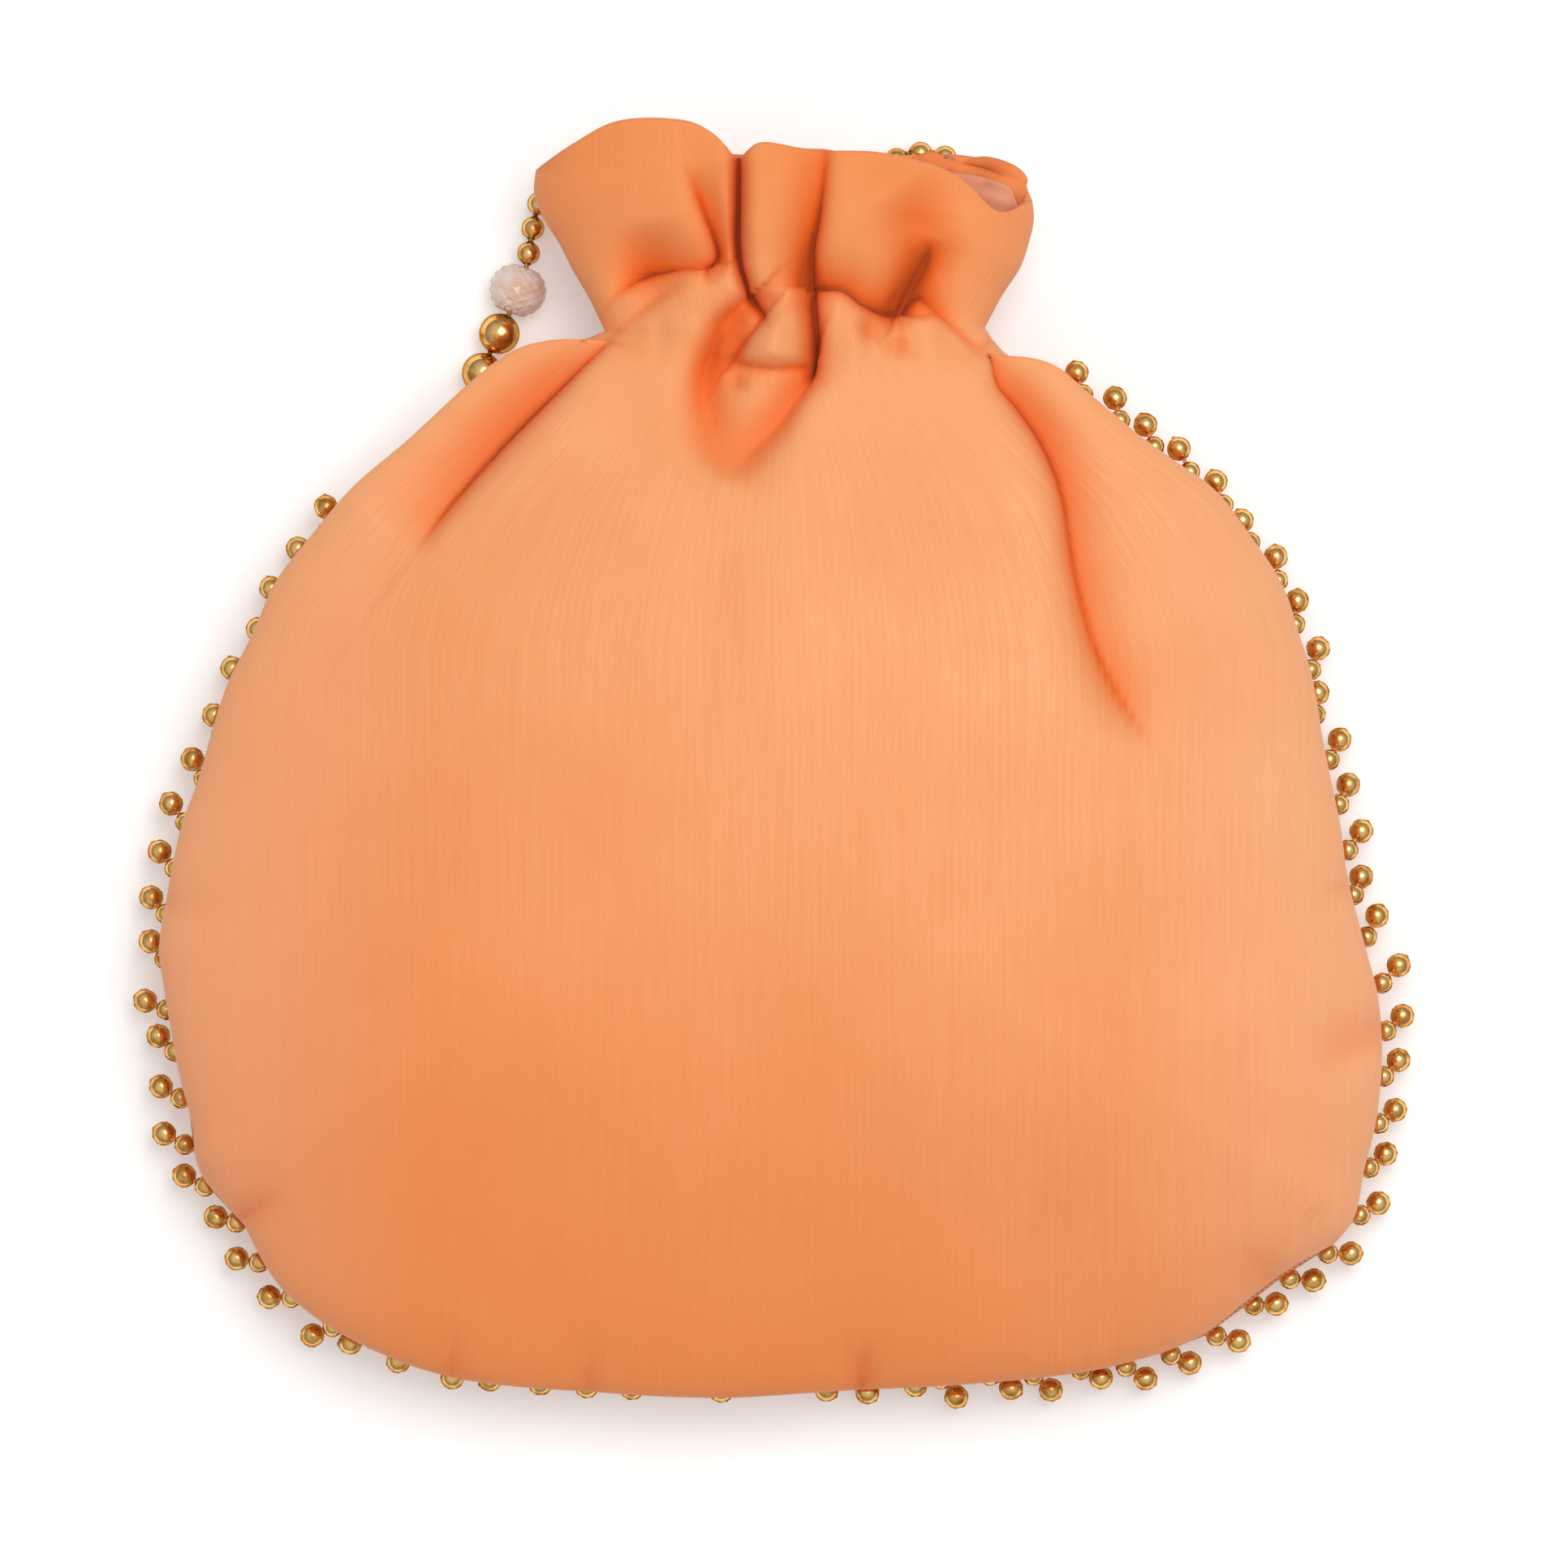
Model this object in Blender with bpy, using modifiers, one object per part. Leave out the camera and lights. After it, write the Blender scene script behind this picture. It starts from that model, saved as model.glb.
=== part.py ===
# A potli bag: a round cloth pouch, drawn shut by a cord in a casing under its frill, with pairs of
# gold beads sewn along the seam and a strand of beads for a handle. It lies on its back on a table.
# +X runs across the bag, +Y from the belly to the mouth and +Z up. Lengths are in metres.
import math

import bmesh
import bpy
import numpy as np
from mathutils import Matrix, Vector

MM = 0.001

# Pouch
BELLY_WIDTH = 229 * MM          # of the stuffed cloth at its widest
BODY_HEIGHT = 201.3 * MM        # from the bottom edge up to the drawstring
NECK_WIDTH = 74 * MM            # across the gathers at the drawstring
NECK_SHIFT = 4 * MM             # the gathers sit a little right of the belly's middle
FRILL_WIDTH = 93 * MM           # across the frill at its rim
FRILL_HEIGHT = 31 * MM          # from the drawstring to the rim
FRILL_SHIFT = 1.3 * MM          # of the frill's rim from the belly's middle
DRAWSTRING_PLACE = 82.5 * MM    # from the origin up to the drawstring

# Heights above the table
BELLY_TOP = 52 * MM
SEAM_HEIGHT = 11 * MM           # of the seam round the belly
NECK_SEAM_HEIGHT = 21 * MM      # of the seam at the neck and up the frill
NECK_TOP = 38 * MM
NECK_UNDERSIDE = 9.5 * MM
FRILL_TOP = 42 * MM
FRILL_UNDERSIDE = 11.5 * MM
EDGE_ROUNDING = 98 * MM         # from the front seam in to where the belly levels out
BACK_ROUNDING = 34 * MM         # from the back seam in to the flat that the bag lies on

# Cloth
CLOTH = 0.9 * MM                # wall of the outer cloth
LINING = 0.6 * MM               # wall of the lining
TOUCH_GAP = 0.3 * MM            # between pieces that touch
LINING_ROOM = 3.2 * MM          # between the cloth and the lining over the belly
LINING_MARGIN = 2.4 * MM        # from the seam in to the lining's edge
CASING_MARGIN = 7.5 * MM        # the same at the neck, where the drawstring runs between them
LINING_SLACK = 1.5              # times as far in as the cloth does, the lining reaches the back's flat

# Cord, thread and beads
DRAWSTRING = 2.0 * MM
EDGE_THREAD = 1.1 * MM
EDGE_PITCH = 8.5 * MM           # between two pairs of beads along the seam
EDGE_INNER_BEAD = 3.5 * MM
EDGE_OUTER_BEAD = 4.0 * MM
EDGE_REACH = 2.8 * MM           # from the edge thread to the middle of the inner bead
EDGE_STEP = 4.8 * MM            # from the inner bead's middle to the outer's
EDGE_LEAN = 52                  # degrees that each pair leans towards the mouth
EDGE_DROOP = 30                 # degrees that it hangs below the level
EDGE_START = 24 * MM            # from the neck down the seam to the first pair
EDGE_FINISH = 16 * MM           # from the last pair up the seam to the neck
HANDLE_THREAD = 1.0 * MM
SMALL_BEAD = 4.3 * MM
LARGE_BEAD = 7.6 * MM
CRYSTAL = 10.6 * MM             # across the cut bead
CRYSTAL_LENGTH = 9.2 * MM       # of the cut bead along the thread

# Fineness of the meshes
FRONT_CELLS = (30, 28)
BACK_CELLS = (18, 16)
LINING_CELLS = (12, 11)
PATH_POINTS = 160               # of each side of the outline once it is smoothed
DRAWSTRING_POINTS = 28
ROUTE_POINTS = 300              # of the handle's route once it is smoothed
LEAD_POINTS = 12                # of the thread's tube along each bare end

# Outline of the stuffed cloth from above, read from the bottom corners up to the neck: height above
# the bottom as a share of BODY_HEIGHT, then distance from the middle as a share of half BELLY_WIDTH.
LEFT_SIDE = ((0.158, -0.872), (0.185, -0.907), (0.212, -0.934), (0.257, -0.958), (0.302, -0.976),
             (0.347, -0.991), (0.393, -1.005), (0.415, -1.010), (0.468, -0.997), (0.529, -0.975),
             (0.574, -0.946), (0.619, -0.923), (0.665, -0.897), (0.710, -0.857), (0.755, -0.823),
             (0.800, -0.762), (0.846, -0.693), (0.891, -0.601), (0.936, -0.513), (0.982, -0.390))
RIGHT_SIDE = ((0.144, 0.915), (0.166, 0.943), (0.212, 0.959), (0.257, 0.979), (0.317, 0.990),
              (0.370, 0.983), (0.415, 0.963), (0.483, 0.933), (0.529, 0.922), (0.574, 0.906),
              (0.619, 0.890), (0.665, 0.877), (0.710, 0.853), (0.755, 0.826), (0.800, 0.784),
              (0.846, 0.719), (0.891, 0.590), (0.936, 0.507), (0.986, 0.375))
BOTTOM_SIDE = ((0.158, -0.872), (0.128, -0.838), (0.098, -0.794), (0.053, -0.690), (0.019, -0.538),
               (0.003, -0.277), (-0.001, -0.090), (0.004, 0.096), (0.011, 0.322), (0.029, 0.555),
               (0.053, 0.683), (0.094, 0.783), (0.117, 0.837), (0.144, 0.915))

# How far the seam hides under the stuffed front: share of the way along each side as above, then
# how many times SEAM_HIDE
SEAM_HIDE = 1.0 * MM
LEFT_OVERHANG = ((0, 1), (0.1, 1.3), (0.22, 2.8), (0.45, 4), (0.57, 5.2), (0.7, 4.5), (0.85, 5), (1, 2))
RIGHT_OVERHANG = ((0, 1), (0.15, 0.6), (0.4, 0.6), (0.5, 2.5), (0.6, 3.3), (0.7, 4.2), (0.83, 3.4),
                  (0.9, 4.4), (1, 2))
BOTTOM_OVERHANG = ((0, 1), (0.1, 2.4), (0.2, 4.5), (0.35, 6), (0.5, 6), (0.6, 4.6),
                   (0.7, 3.4), (0.76, 2.4), (0.84, 1.2), (1, 1))
BULGE_PLACE = 6 * MM            # from the seam in to where the front bulges out most
CORNER_RUN = 0.2                # share of a side over which it is drawn to the corner that it meets
MOST_BULGE = 5                  # times BULGE_PLACE that the bulge may push the cloth out

# Rim of the frill: share of the way across, then height above the drawstring over FRILL_HEIGHT
FRONT_RIM = ((0, 0.93), (0.08, 1.06), (0.16, 1.17), (0.30, 1.18), (0.37, 1.07), (0.41, 0.95),
             (0.45, 1.06), (0.56, 1.02), (0.70, 1.00), (0.86, 0.83), (1, 0.73))
BACK_RIM = ((0, 0.93), (0.2, 1.00), (0.5, 1.03), (0.75, 1.04), (0.93, 0.98), (1, 0.73))

# Gathers of the back, evenly spaced across it
BACK_GATHERS = 6
BACK_GATHER_DEPTH = 2.6 * MM
BACK_GATHER_RUN = 0.30          # share of the body's height that they run down

# The casing at the neck, from the outside in: gathered cloth, drawstring, lining, way in
NECK_FOLD_DEPTH = 6 * MM        # of the deepest front fold at the drawstring
CASING_ROOM = CLOTH + 2 * TOUCH_GAP + DRAWSTRING + LINING
MOUTH_FLOOR = NECK_UNDERSIDE + BACK_GATHER_DEPTH + CASING_ROOM
MOUTH_TOP = NECK_TOP - NECK_FOLD_DEPTH - CASING_ROOM

# From the seam in to where folds start, and where front folds and back gathers are at their full depth
FOLD_START = 2 * MM
FOLD_FULL = 12 * MM
GATHER_FULL = 9 * MM

# Folds of the front. Each has its route over the panel, as shares across it and up it, where 1 is the
# drawstring and 2 the rim; its depth; the widths of its left and right banks; and the share of its
# route over which it fades out.
FRONT_FOLDS = (
    ("left shoulder", ((0.055, 0.985), (0.08, 0.845), (0.088, 0.705)), 8 * MM, 11 * MM, 4 * MM, 0.5),
    ("right shoulder", ((0.965, 0.972), (0.915, 0.905), (0.885, 0.823), (0.828, 0.718), (0.815, 0.618),
                        (0.845, 0.542)), 6.5 * MM, 4.5 * MM, 11 * MM, 0.35),
    ("pocket left", ((0.385, 1.05), (0.357, 0.963), (0.393, 0.883), (0.41, 0.807)),
     NECK_FOLD_DEPTH, 3.5 * MM, 8 * MM, 0.4),
    ("pocket right", ((0.555, 1.03), (0.565, 0.973), (0.48, 0.90), (0.41, 0.815)),
     5 * MM, 7 * MM, 3.5 * MM, 0.4),
    ("frill cleft", ((0.43, 1.095), (0.38, 1.395), (0.378, 2.0)), 6 * MM, 2.5 * MM, 2.5 * MM, 0.02),
    ("frill left valley", ((0.307, 1.308), (0.323, 1.472), (0.302, 1.82)), 4 * MM, 4 * MM, 3 * MM, 0.5),
    ("frill middle valley", ((0.549, 1.0), (0.552, 1.177), (0.552, 1.595), (0.547, 2.0)),
     5 * MM, 4 * MM, 3 * MM, 0.15),
    ("frill right valley", ((0.775, 1.085), (0.807, 1.397), (0.797, 1.585), (0.73, 1.92)),
     4.5 * MM, 5 * MM, 6 * MM, 0.6),
    ("frill left dimple", ((0.188, 1.318), (0.115, 1.562)), 2.5 * MM, 6 * MM, 6 * MM, 0.6),
    ("left of the casing", ((0.007, 1.13), (0.083, 1.292), (0.208, 1.29), (0.3, 1.333)),
     3.5 * MM, 5 * MM, 3 * MM, 0.1),
    ("right of the casing", ((0.575, 1.225), (0.703, 1.15), (0.89, 1.058)), 4 * MM, 5 * MM, 3 * MM, 0.1),
    ("lower right dent", ((0.93, 0.02), (0.883, 0.072)), 2 * MM, 5 * MM, 5 * MM, 0.6),
)

# Handle: chosen points of its route over the table in millimetres, from the left of the neck, out under
# the shoulder, up behind the frill and back to the right of the neck
HANDLE_ROUTE = ((-38.5, 70.5), (-44, 64.5), (-51, 61.5), (-56.8, 65), (-56, 72), (-52, 80.5),
                (-48.3, 88.5), (-46.9, 93.6), (-46.2, 98.2), (-45.4, 102.6), (-43.5, 108), (-37.5, 111.0),
                (-29, 108.6), (-21, 103), (-12.5, 98), (-3.5, 96), (5, 97.6), (12.2, 102.2), (17, 108.2),
                (21.5, 112.9), (26.7, 114.5), (31.5, 113.8), (36, 111), (39.5, 106), (41.5, 99), (41.5, 90))
HANDLE_ANCHORS = ((0.08, 0.975), (0.92, 0.975))     # where its ends are sewn, as shares over the back
STRAND_PATTERN = ("small", "small", "small", "small", "large", "large", "crystal")
STRAND_LEAD = 18.2 * MM         # of bare thread before the first bead
STRAND_TAIL = 14 * MM           # and after the last, at least
STRAND_GAP = 0.5 * MM           # between neighbouring beads
STRAND_STEP = 1.6 * MM          # the thread climbs no more than this along one bead
BEAD_WIDTHS = {"small": SMALL_BEAD, "large": LARGE_BEAD, "crystal": CRYSTAL}
BEAD_LENGTHS = {"small": SMALL_BEAD, "large": LARGE_BEAD, "crystal": CRYSTAL_LENGTH}
BEAD_CLEARANCE = 0.3 * MM       # between a bead's bore and the thread
TABLE_GAP = 0.05 * MM           # under the beads


def smooth_step(share):
    """0 below 0, 1 above 1 and an even S between."""
    share = np.clip(share, 0.0, 1.0)
    return share * share * (3.0 - 2.0 * share)


def ramp(value, low, high):
    return smooth_step((value - low) / (high - low))


def through(stations, place):
    """A smooth curve through (station, value) pairs, read at each place."""
    knots, values = np.array(stations, dtype=float).T
    slopes = np.gradient(values, knots)
    index = np.clip(np.searchsorted(knots, place) - 1, 0, len(knots) - 2)
    span = knots[index + 1] - knots[index]
    s = np.clip((place - knots[index]) / span, 0.0, 1.0)
    start = (1 + 2 * s) * (1 - s) ** 2 * values[index] + s * (1 - s) ** 2 * span * slopes[index]
    end = s * s * (3 - 2 * s) * values[index + 1] - s * s * (1 - s) * span * slopes[index + 1]
    return start + end


def smooth_path(points, count):
    """Evenly spaced points along a smooth curve through the given ones."""
    points = np.array(points, dtype=float)
    steps = np.linalg.norm(np.diff(points, axis=0), axis=1)
    knots = np.concatenate([[0.0], np.cumsum(np.sqrt(steps))])
    fine = np.linspace(0.0, knots[-1], 40 * len(points))
    curve = np.stack([through(np.stack([knots, axis], axis=1), fine) for axis in points.T], axis=1)
    lengths = path_lengths(curve)
    return along(curve, np.linspace(0.0, lengths[-1], count))


def path_lengths(path):
    return np.concatenate([[0.0], np.cumsum(np.linalg.norm(np.diff(path, axis=0), axis=1))])


def along(path, distance):
    """The point of a path at each distance from its start."""
    lengths = path_lengths(path)
    return np.stack([np.interp(distance, lengths, axis) for axis in path.T], axis=-1)


def outline_point(height_share, reach_share):
    return (reach_share * BELLY_WIDTH / 2, DRAWSTRING_PLACE + (height_share - 1) * BODY_HEIGHT)


NECK_ENDS = [(NECK_SHIFT + side * NECK_WIDTH / 2, DRAWSTRING_PLACE) for side in (-1, 1)]
RIM_ENDS = [(FRILL_SHIFT - FRILL_WIDTH / 2, DRAWSTRING_PLACE + FRONT_RIM[0][1] * FRILL_HEIGHT),
            (FRILL_SHIFT + FRILL_WIDTH / 2, DRAWSTRING_PLACE + FRONT_RIM[-1][1] * FRILL_HEIGHT)]


def inset(path, amounts):
    """A side moved in from the stuffed outline, by the overhang and the wall, to the seam."""
    shares = np.linspace(0.0, 1.0, len(path))
    tangents = np.gradient(path, axis=0)
    normals = np.stack([-tangents[:, 1], tangents[:, 0]], axis=1)
    normals /= np.linalg.norm(normals, axis=1)[:, None]
    middle = np.array([0.0, DRAWSTRING_PLACE - BODY_HEIGHT / 2])
    normals[np.sum(normals * (middle - path), axis=1) < 0] *= -1
    return path + normals * (through(amounts, shares) * SEAM_HIDE + CLOTH)[:, None]


def drawn_to(path, corner):
    """A side whose start is moved to a corner, and the rest of it less and less."""
    shares = np.linspace(0.0, 1.0, len(path))
    return path + (corner - path[0]) * (1 - ramp(shares, 0.0, CORNER_RUN))[:, None]


def body_sides():
    """The seam's left, right and bottom, each read upwards or from left to right."""
    left = [outline_point(*pair) for pair in LEFT_SIDE] + [NECK_ENDS[0]]
    right = [outline_point(*pair) for pair in RIGHT_SIDE] + [NECK_ENDS[1]]
    bottom = [outline_point(*pair) for pair in BOTTOM_SIDE]
    left = inset(smooth_path(left, PATH_POINTS), LEFT_OVERHANG)
    right = inset(smooth_path(right, PATH_POINTS), RIGHT_OVERHANG)
    bottom = inset(smooth_path(bottom, PATH_POINTS), BOTTOM_OVERHANG)
    left_corner = (left[0] + bottom[0]) / 2
    right_corner = (right[0] + bottom[-1]) / 2
    bottom = drawn_to(drawn_to(bottom, left_corner)[::-1], right_corner)[::-1]
    return drawn_to(left, left_corner), drawn_to(right, right_corner), bottom


LEFT_SEAM, RIGHT_SEAM, BOTTOM_SEAM = body_sides()
LEFT_FRILL = smooth_path([LEFT_SEAM[-1], RIM_ENDS[0]], PATH_POINTS // 2)
RIGHT_FRILL = smooth_path([RIGHT_SEAM[-1], RIM_ENDS[1]], PATH_POINTS // 2)
SEAM = np.concatenate([LEFT_FRILL[::-1], LEFT_SEAM[::-1][1:], BOTTOM_SEAM[1:], RIGHT_SEAM[1:],
                       RIGHT_FRILL[1:]])


def side_reader(path):
    shares = np.linspace(0.0, 1.0, len(path))
    return lambda place: np.stack([np.interp(place, shares, axis) for axis in path.T], axis=-1)


def body_plan(u, v):
    """Where a share across and up the body lies: a patch stretched between the seam and the neck."""
    left, right, bottom = (side_reader(path) for path in (LEFT_SEAM, RIGHT_SEAM, BOTTOM_SEAM))
    neck = LEFT_SEAM[-1] + u[..., None] * (RIGHT_SEAM[-1] - LEFT_SEAM[-1])
    u, v = u[..., None], v[..., None]
    corners = ((1 - u) * (1 - v) * LEFT_SEAM[0] + u * (1 - v) * RIGHT_SEAM[0]
               + (1 - u) * v * LEFT_SEAM[-1] + u * v * RIGHT_SEAM[-1])
    across = (1 - u) * left(v[..., 0]) + u * right(v[..., 0])
    return across + (1 - v) * bottom(u[..., 0]) + v * neck - corners


def frill_plan(u, t, rim):
    """The same in the frill, where t runs from the drawstring to the rim."""
    neck = LEFT_SEAM[-1] + u[..., None] * (RIGHT_SEAM[-1] - LEFT_SEAM[-1])
    left, right = side_reader(LEFT_FRILL)(t), side_reader(RIGHT_FRILL)(t)
    x = left[..., 0] + u * (right[..., 0] - left[..., 0])
    rise = through(rim, u) * FRILL_HEIGHT
    return np.stack([x, neck[..., 1] + t * rise], axis=-1)


def plan(u, v, rim):
    return np.where((v < 1)[..., None], body_plan(u, np.minimum(v, 1)),
                    frill_plan(u, np.maximum(v - 1, 0), rim))


def seam_offset(points):
    """Each point's distance to the seam, and the direction from it out to the seam."""
    rows = points.reshape(-1, 2)
    nearest = np.empty_like(rows)
    for index, point in enumerate(rows):
        starts, steps = SEAM[:-1], np.diff(SEAM, axis=0)
        share = np.clip(np.sum((point - starts) * steps, axis=1) / np.sum(steps * steps, axis=1), 0, 1)
        feet = starts + share[:, None] * steps
        nearest[index] = feet[np.argmin(np.sum((feet - point) ** 2, axis=1))]
    outward = (nearest - rows).reshape(points.shape)
    distance = np.linalg.norm(outward, axis=-1)
    return distance, outward / np.maximum(distance, 1e-9)[..., None]


def rounding(share):
    """The quarter ellipse of a stuffed edge: upright at the seam, level from share 1 on."""
    return np.sqrt(1.0 - (1.0 - np.clip(share, 0.0, 1.0)) ** 2)


def row_width(v):
    left, right = side_reader(LEFT_SEAM)(np.minimum(v, 1)), side_reader(RIGHT_SEAM)(np.minimum(v, 1))
    frill = side_reader(RIGHT_FRILL)(np.maximum(v - 1, 0)) - side_reader(LEFT_FRILL)(np.maximum(v - 1, 0))
    return np.where(v < 1, np.linalg.norm(right - left, axis=-1), frill[..., 0])


def seam_height(v):
    return SEAM_HEIGHT + (NECK_SEAM_HEIGHT - SEAM_HEIGHT) * ramp(v, 0.6, 1.0)


def overhang(u, v):
    """How far the stuffed front stands out over the seam beside a point."""
    height = np.minimum(v, 1)
    side = np.where(u < 0.5, through(LEFT_OVERHANG, height), through(RIGHT_OVERHANG, height))
    below = ramp(np.minimum(u, 1 - u) - v, -0.1, 0.1)
    return (side + (through(BOTTOM_OVERHANG, u) - side) * below) * SEAM_HIDE


def bulge_push(reach):
    """The push at BULGE_PLACE that takes the bulging cloth this far out over the seam."""
    inward = np.linspace(0, 4, 200)
    pushes = np.linspace(0, MOST_BULGE, 60)
    reaches = [-np.min(inward - push * inward * np.exp(1 - inward)) for push in pushes]
    return np.interp(reach / BULGE_PLACE, reaches, pushes) * BULGE_PLACE


def front_base(u, v):
    """The stuffed front without its folds: the inner face of the cloth."""
    points = plan(u, v, FRONT_RIM)
    distance, outward = seam_offset(points)
    share = distance / BULGE_PLACE
    push = bulge_push(overhang(u, v)) * share * np.exp(1.0 - share) * ramp(v, 1.0, 0.9)
    crown = BELLY_TOP + (NECK_TOP - BELLY_TOP) * ramp(v, 0.55, 1.0)
    crown = crown + (FRILL_TOP - NECK_TOP) * ramp(v, 1.05, 1.8)
    reach = np.minimum(EDGE_ROUNDING, 0.5 * row_width(v))
    seam = seam_height(v)
    z = seam + TOUCH_GAP / 2 + (crown - CLOTH - seam) * rounding(distance / reach)
    return points + outward * push[..., None], z, distance


def fold_depths(points, distance, folds, plan_of):
    """How far the folds draw the cloth in at each point."""
    depth = np.zeros(points.shape[:-1])
    for _, route, deepest, left_bank, right_bank, fade in folds:
        shares = smooth_path(route, 40)
        path = plan_of(shares[:, 0], shares[:, 1])
        offsets = points[..., None, :] - path
        gaps = np.linalg.norm(offsets, axis=-1)
        near = np.argmin(gaps, axis=-1)
        gap = np.take_along_axis(gaps, near[..., None], axis=-1)[..., 0]
        tangent = np.gradient(path, axis=0)[near]
        offset = np.take_along_axis(offsets, near[..., None, None], axis=-2)[..., 0, :]
        to_right = tangent[..., 1] * offset[..., 0] - tangent[..., 0] * offset[..., 1] > 0
        bank = np.where(to_right, right_bank, left_bank)
        tail = ramp(1.0 - near / (len(path) - 1.0), 0.0, fade)
        depth = np.maximum(depth, deepest * tail * np.exp(-(gap / bank) ** 2))
    return depth * ramp(distance, FOLD_START, FOLD_FULL)


def front_surface(u, v):
    points, z, distance = front_base(u, v)
    folded = z - fold_depths(points, distance, FRONT_FOLDS, lambda a, b: plan(a, b, FRONT_RIM))
    return points, folded


def back_surface(u, v):
    """The back, flat where the bag lies on it and gathered towards the neck."""
    points = plan(u, v, BACK_RIM)
    distance, _ = seam_offset(points)
    low = NECK_UNDERSIDE * ramp(v, 0.68, 1.0) + (FRILL_UNDERSIDE - NECK_UNDERSIDE) * ramp(v, 1.05, 1.8)
    reach = np.minimum(BACK_ROUNDING, 0.5 * row_width(v))
    seam = seam_height(v)
    z = seam - TOUCH_GAP / 2 - (seam - TOUCH_GAP / 2 - low - CLOTH) * rounding(distance / reach)
    wave = 0.5 - 0.5 * np.cos(2 * math.pi * BACK_GATHERS * u)
    strength = ramp(v, 1.0 - BACK_GATHER_RUN, 1.0) * ramp(distance, FOLD_START, GATHER_FULL)
    return points, z + BACK_GATHER_DEPTH * wave * strength


def lining_surface(u, v, side):
    """A plain inner skin: under the cloth over the belly, round the way in at the neck."""
    rim = FRONT_RIM if side > 0 else BACK_RIM
    points = plan(u, v, rim)
    margin = LINING_MARGIN + (CASING_MARGIN - LINING_MARGIN) * ramp(v, 0.8, 0.97) * ramp(v, 1.35, 1.1)
    middle = plan(np.full_like(u, 0.5), v, rim)
    distance, _ = seam_offset(points)
    half = 0.5 * row_width(v)
    drawn = points + (middle - points) * (margin / half)[..., None]
    drawn[..., 1] += margin * ramp(v, 0.5, 0.0)
    way_in = MOUTH_TOP if side > 0 else MOUTH_FLOOR
    seam = seam_height(v) + side * TOUCH_GAP / 2
    if side > 0:
        belly = BELLY_TOP - CLOTH - LINING_ROOM - LINING
    else:
        belly = CLOTH + 2 * TOUCH_GAP + LINING
    level = belly + (way_in - belly) * ramp(v, 0.5 if side > 0 else 0.65, 0.97)
    reach = np.minimum(EDGE_ROUNDING if side > 0 else LINING_SLACK * BACK_ROUNDING, half)
    return drawn, seam + (level - seam) * rounding(distance / reach)


def share_rows(count, middle_weight):
    """Shares from 0 to 1 that crowd towards both ends."""
    even = np.linspace(0.0, 1.0, count + 1)
    return middle_weight * even + (1 - middle_weight) * (1 - np.cos(math.pi * even)) / 2


def cloth_mesh(name, cells, surface, frill_share, side):
    """A grid laid over a surface, with its faces towards the outside of the bag."""
    frill_rows = round(cells[1] * frill_share)
    across = share_rows(cells[0], 0.45)
    body_rows = share_rows(cells[1] - frill_rows, 0.45)
    up = np.concatenate([body_rows, 1 + np.linspace(0, 1, frill_rows + 1)[1:]])
    u, v = np.meshgrid(across, up, indexing="ij")
    points, z = surface(u, v)
    mesh = bpy.data.meshes.new(name)
    bm = bmesh.new()
    bmesh.ops.create_grid(bm, x_segments=cells[0], y_segments=cells[1], size=0.5)
    for vertex in bm.verts:
        column = round((vertex.co.x + 0.5) * cells[0])
        row = round((vertex.co.y + 0.5) * cells[1])
        vertex.co = (*points[column, row], z[column, row])
    bmesh.ops.triangulate(bm, faces=bm.faces, quad_method="SHORT_EDGE")
    if side < 0:
        bmesh.ops.reverse_faces(bm, faces=bm.faces)
    bm.to_mesh(mesh)
    bm.free()
    mesh.shade_smooth()
    return mesh


def material(name, colour, roughness, metallic=0.0):
    made = bpy.data.materials.new(name)
    made.use_nodes = True
    shader = made.node_tree.nodes["Principled BSDF"]
    shader.inputs["Base Color"].default_value = (*colour, 1.0)
    shader.inputs["Roughness"].default_value = roughness
    shader.inputs["Metallic"].default_value = metallic
    return made


def place(name, data, look, collection):
    """An object of its own in the bag's collection."""
    placed = bpy.data.objects.new(name, data)
    data.materials.clear()
    data.materials.append(look)
    collection.objects.link(placed)
    return placed


def cloth_piece(name, mesh, wall, look, collection):
    piece = place(name, mesh, look, collection)
    shell = piece.modifiers.new("wall", "SOLIDIFY")
    shell.thickness = wall
    shell.offset = 1.0
    return piece


def cord_curve(name, path, diameter, closed):
    """A round cord along a path of points."""
    curve = bpy.data.curves.new(name, "CURVE")
    curve.dimensions = "3D"
    curve.bevel_depth = diameter / 2
    curve.bevel_resolution = 2
    curve.use_fill_caps = not closed
    spline = curve.splines.new("POLY")
    spline.points.add(len(path) - 1)
    for point, position in zip(spline.points, path):
        point.co = (*position, 1.0)
    spline.use_cyclic_u = closed
    return curve


def mesh_of(thing):
    """The evaluated mesh of an object, welded, in its own space."""
    evaluated = thing.evaluated_get(bpy.context.evaluated_depsgraph_get())
    mesh = bpy.data.meshes.new_from_object(evaluated)
    bm = bmesh.new()
    bm.from_mesh(mesh)
    bmesh.ops.remove_doubles(bm, verts=bm.verts, dist=1e-6)
    bm.to_mesh(mesh)
    bm.free()
    return mesh


def turned_mesh(name, profile, steps, collection):
    """A profile of (radius, height) pairs, read from top to bottom, turned about Z."""
    line = bpy.data.meshes.new(name)
    closed = profile[0][0] > 0
    edges = [(i, i + 1) for i in range(len(profile) - 1)]
    if closed:
        edges.append((len(profile) - 1, 0))
    line.from_pydata([(radius, 0.0, height) for radius, height in profile], edges, [])
    guide = bpy.data.objects.new(name, line)
    collection.objects.link(guide)
    turn = guide.modifiers.new("turn", "SCREW")
    turn.steps = turn.render_steps = steps
    turn.use_merge_vertices = True
    turn.merge_threshold = 1e-6
    turn.use_smooth_shade = True
    mesh = mesh_of(guide)
    bpy.data.objects.remove(guide)
    return mesh


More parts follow.
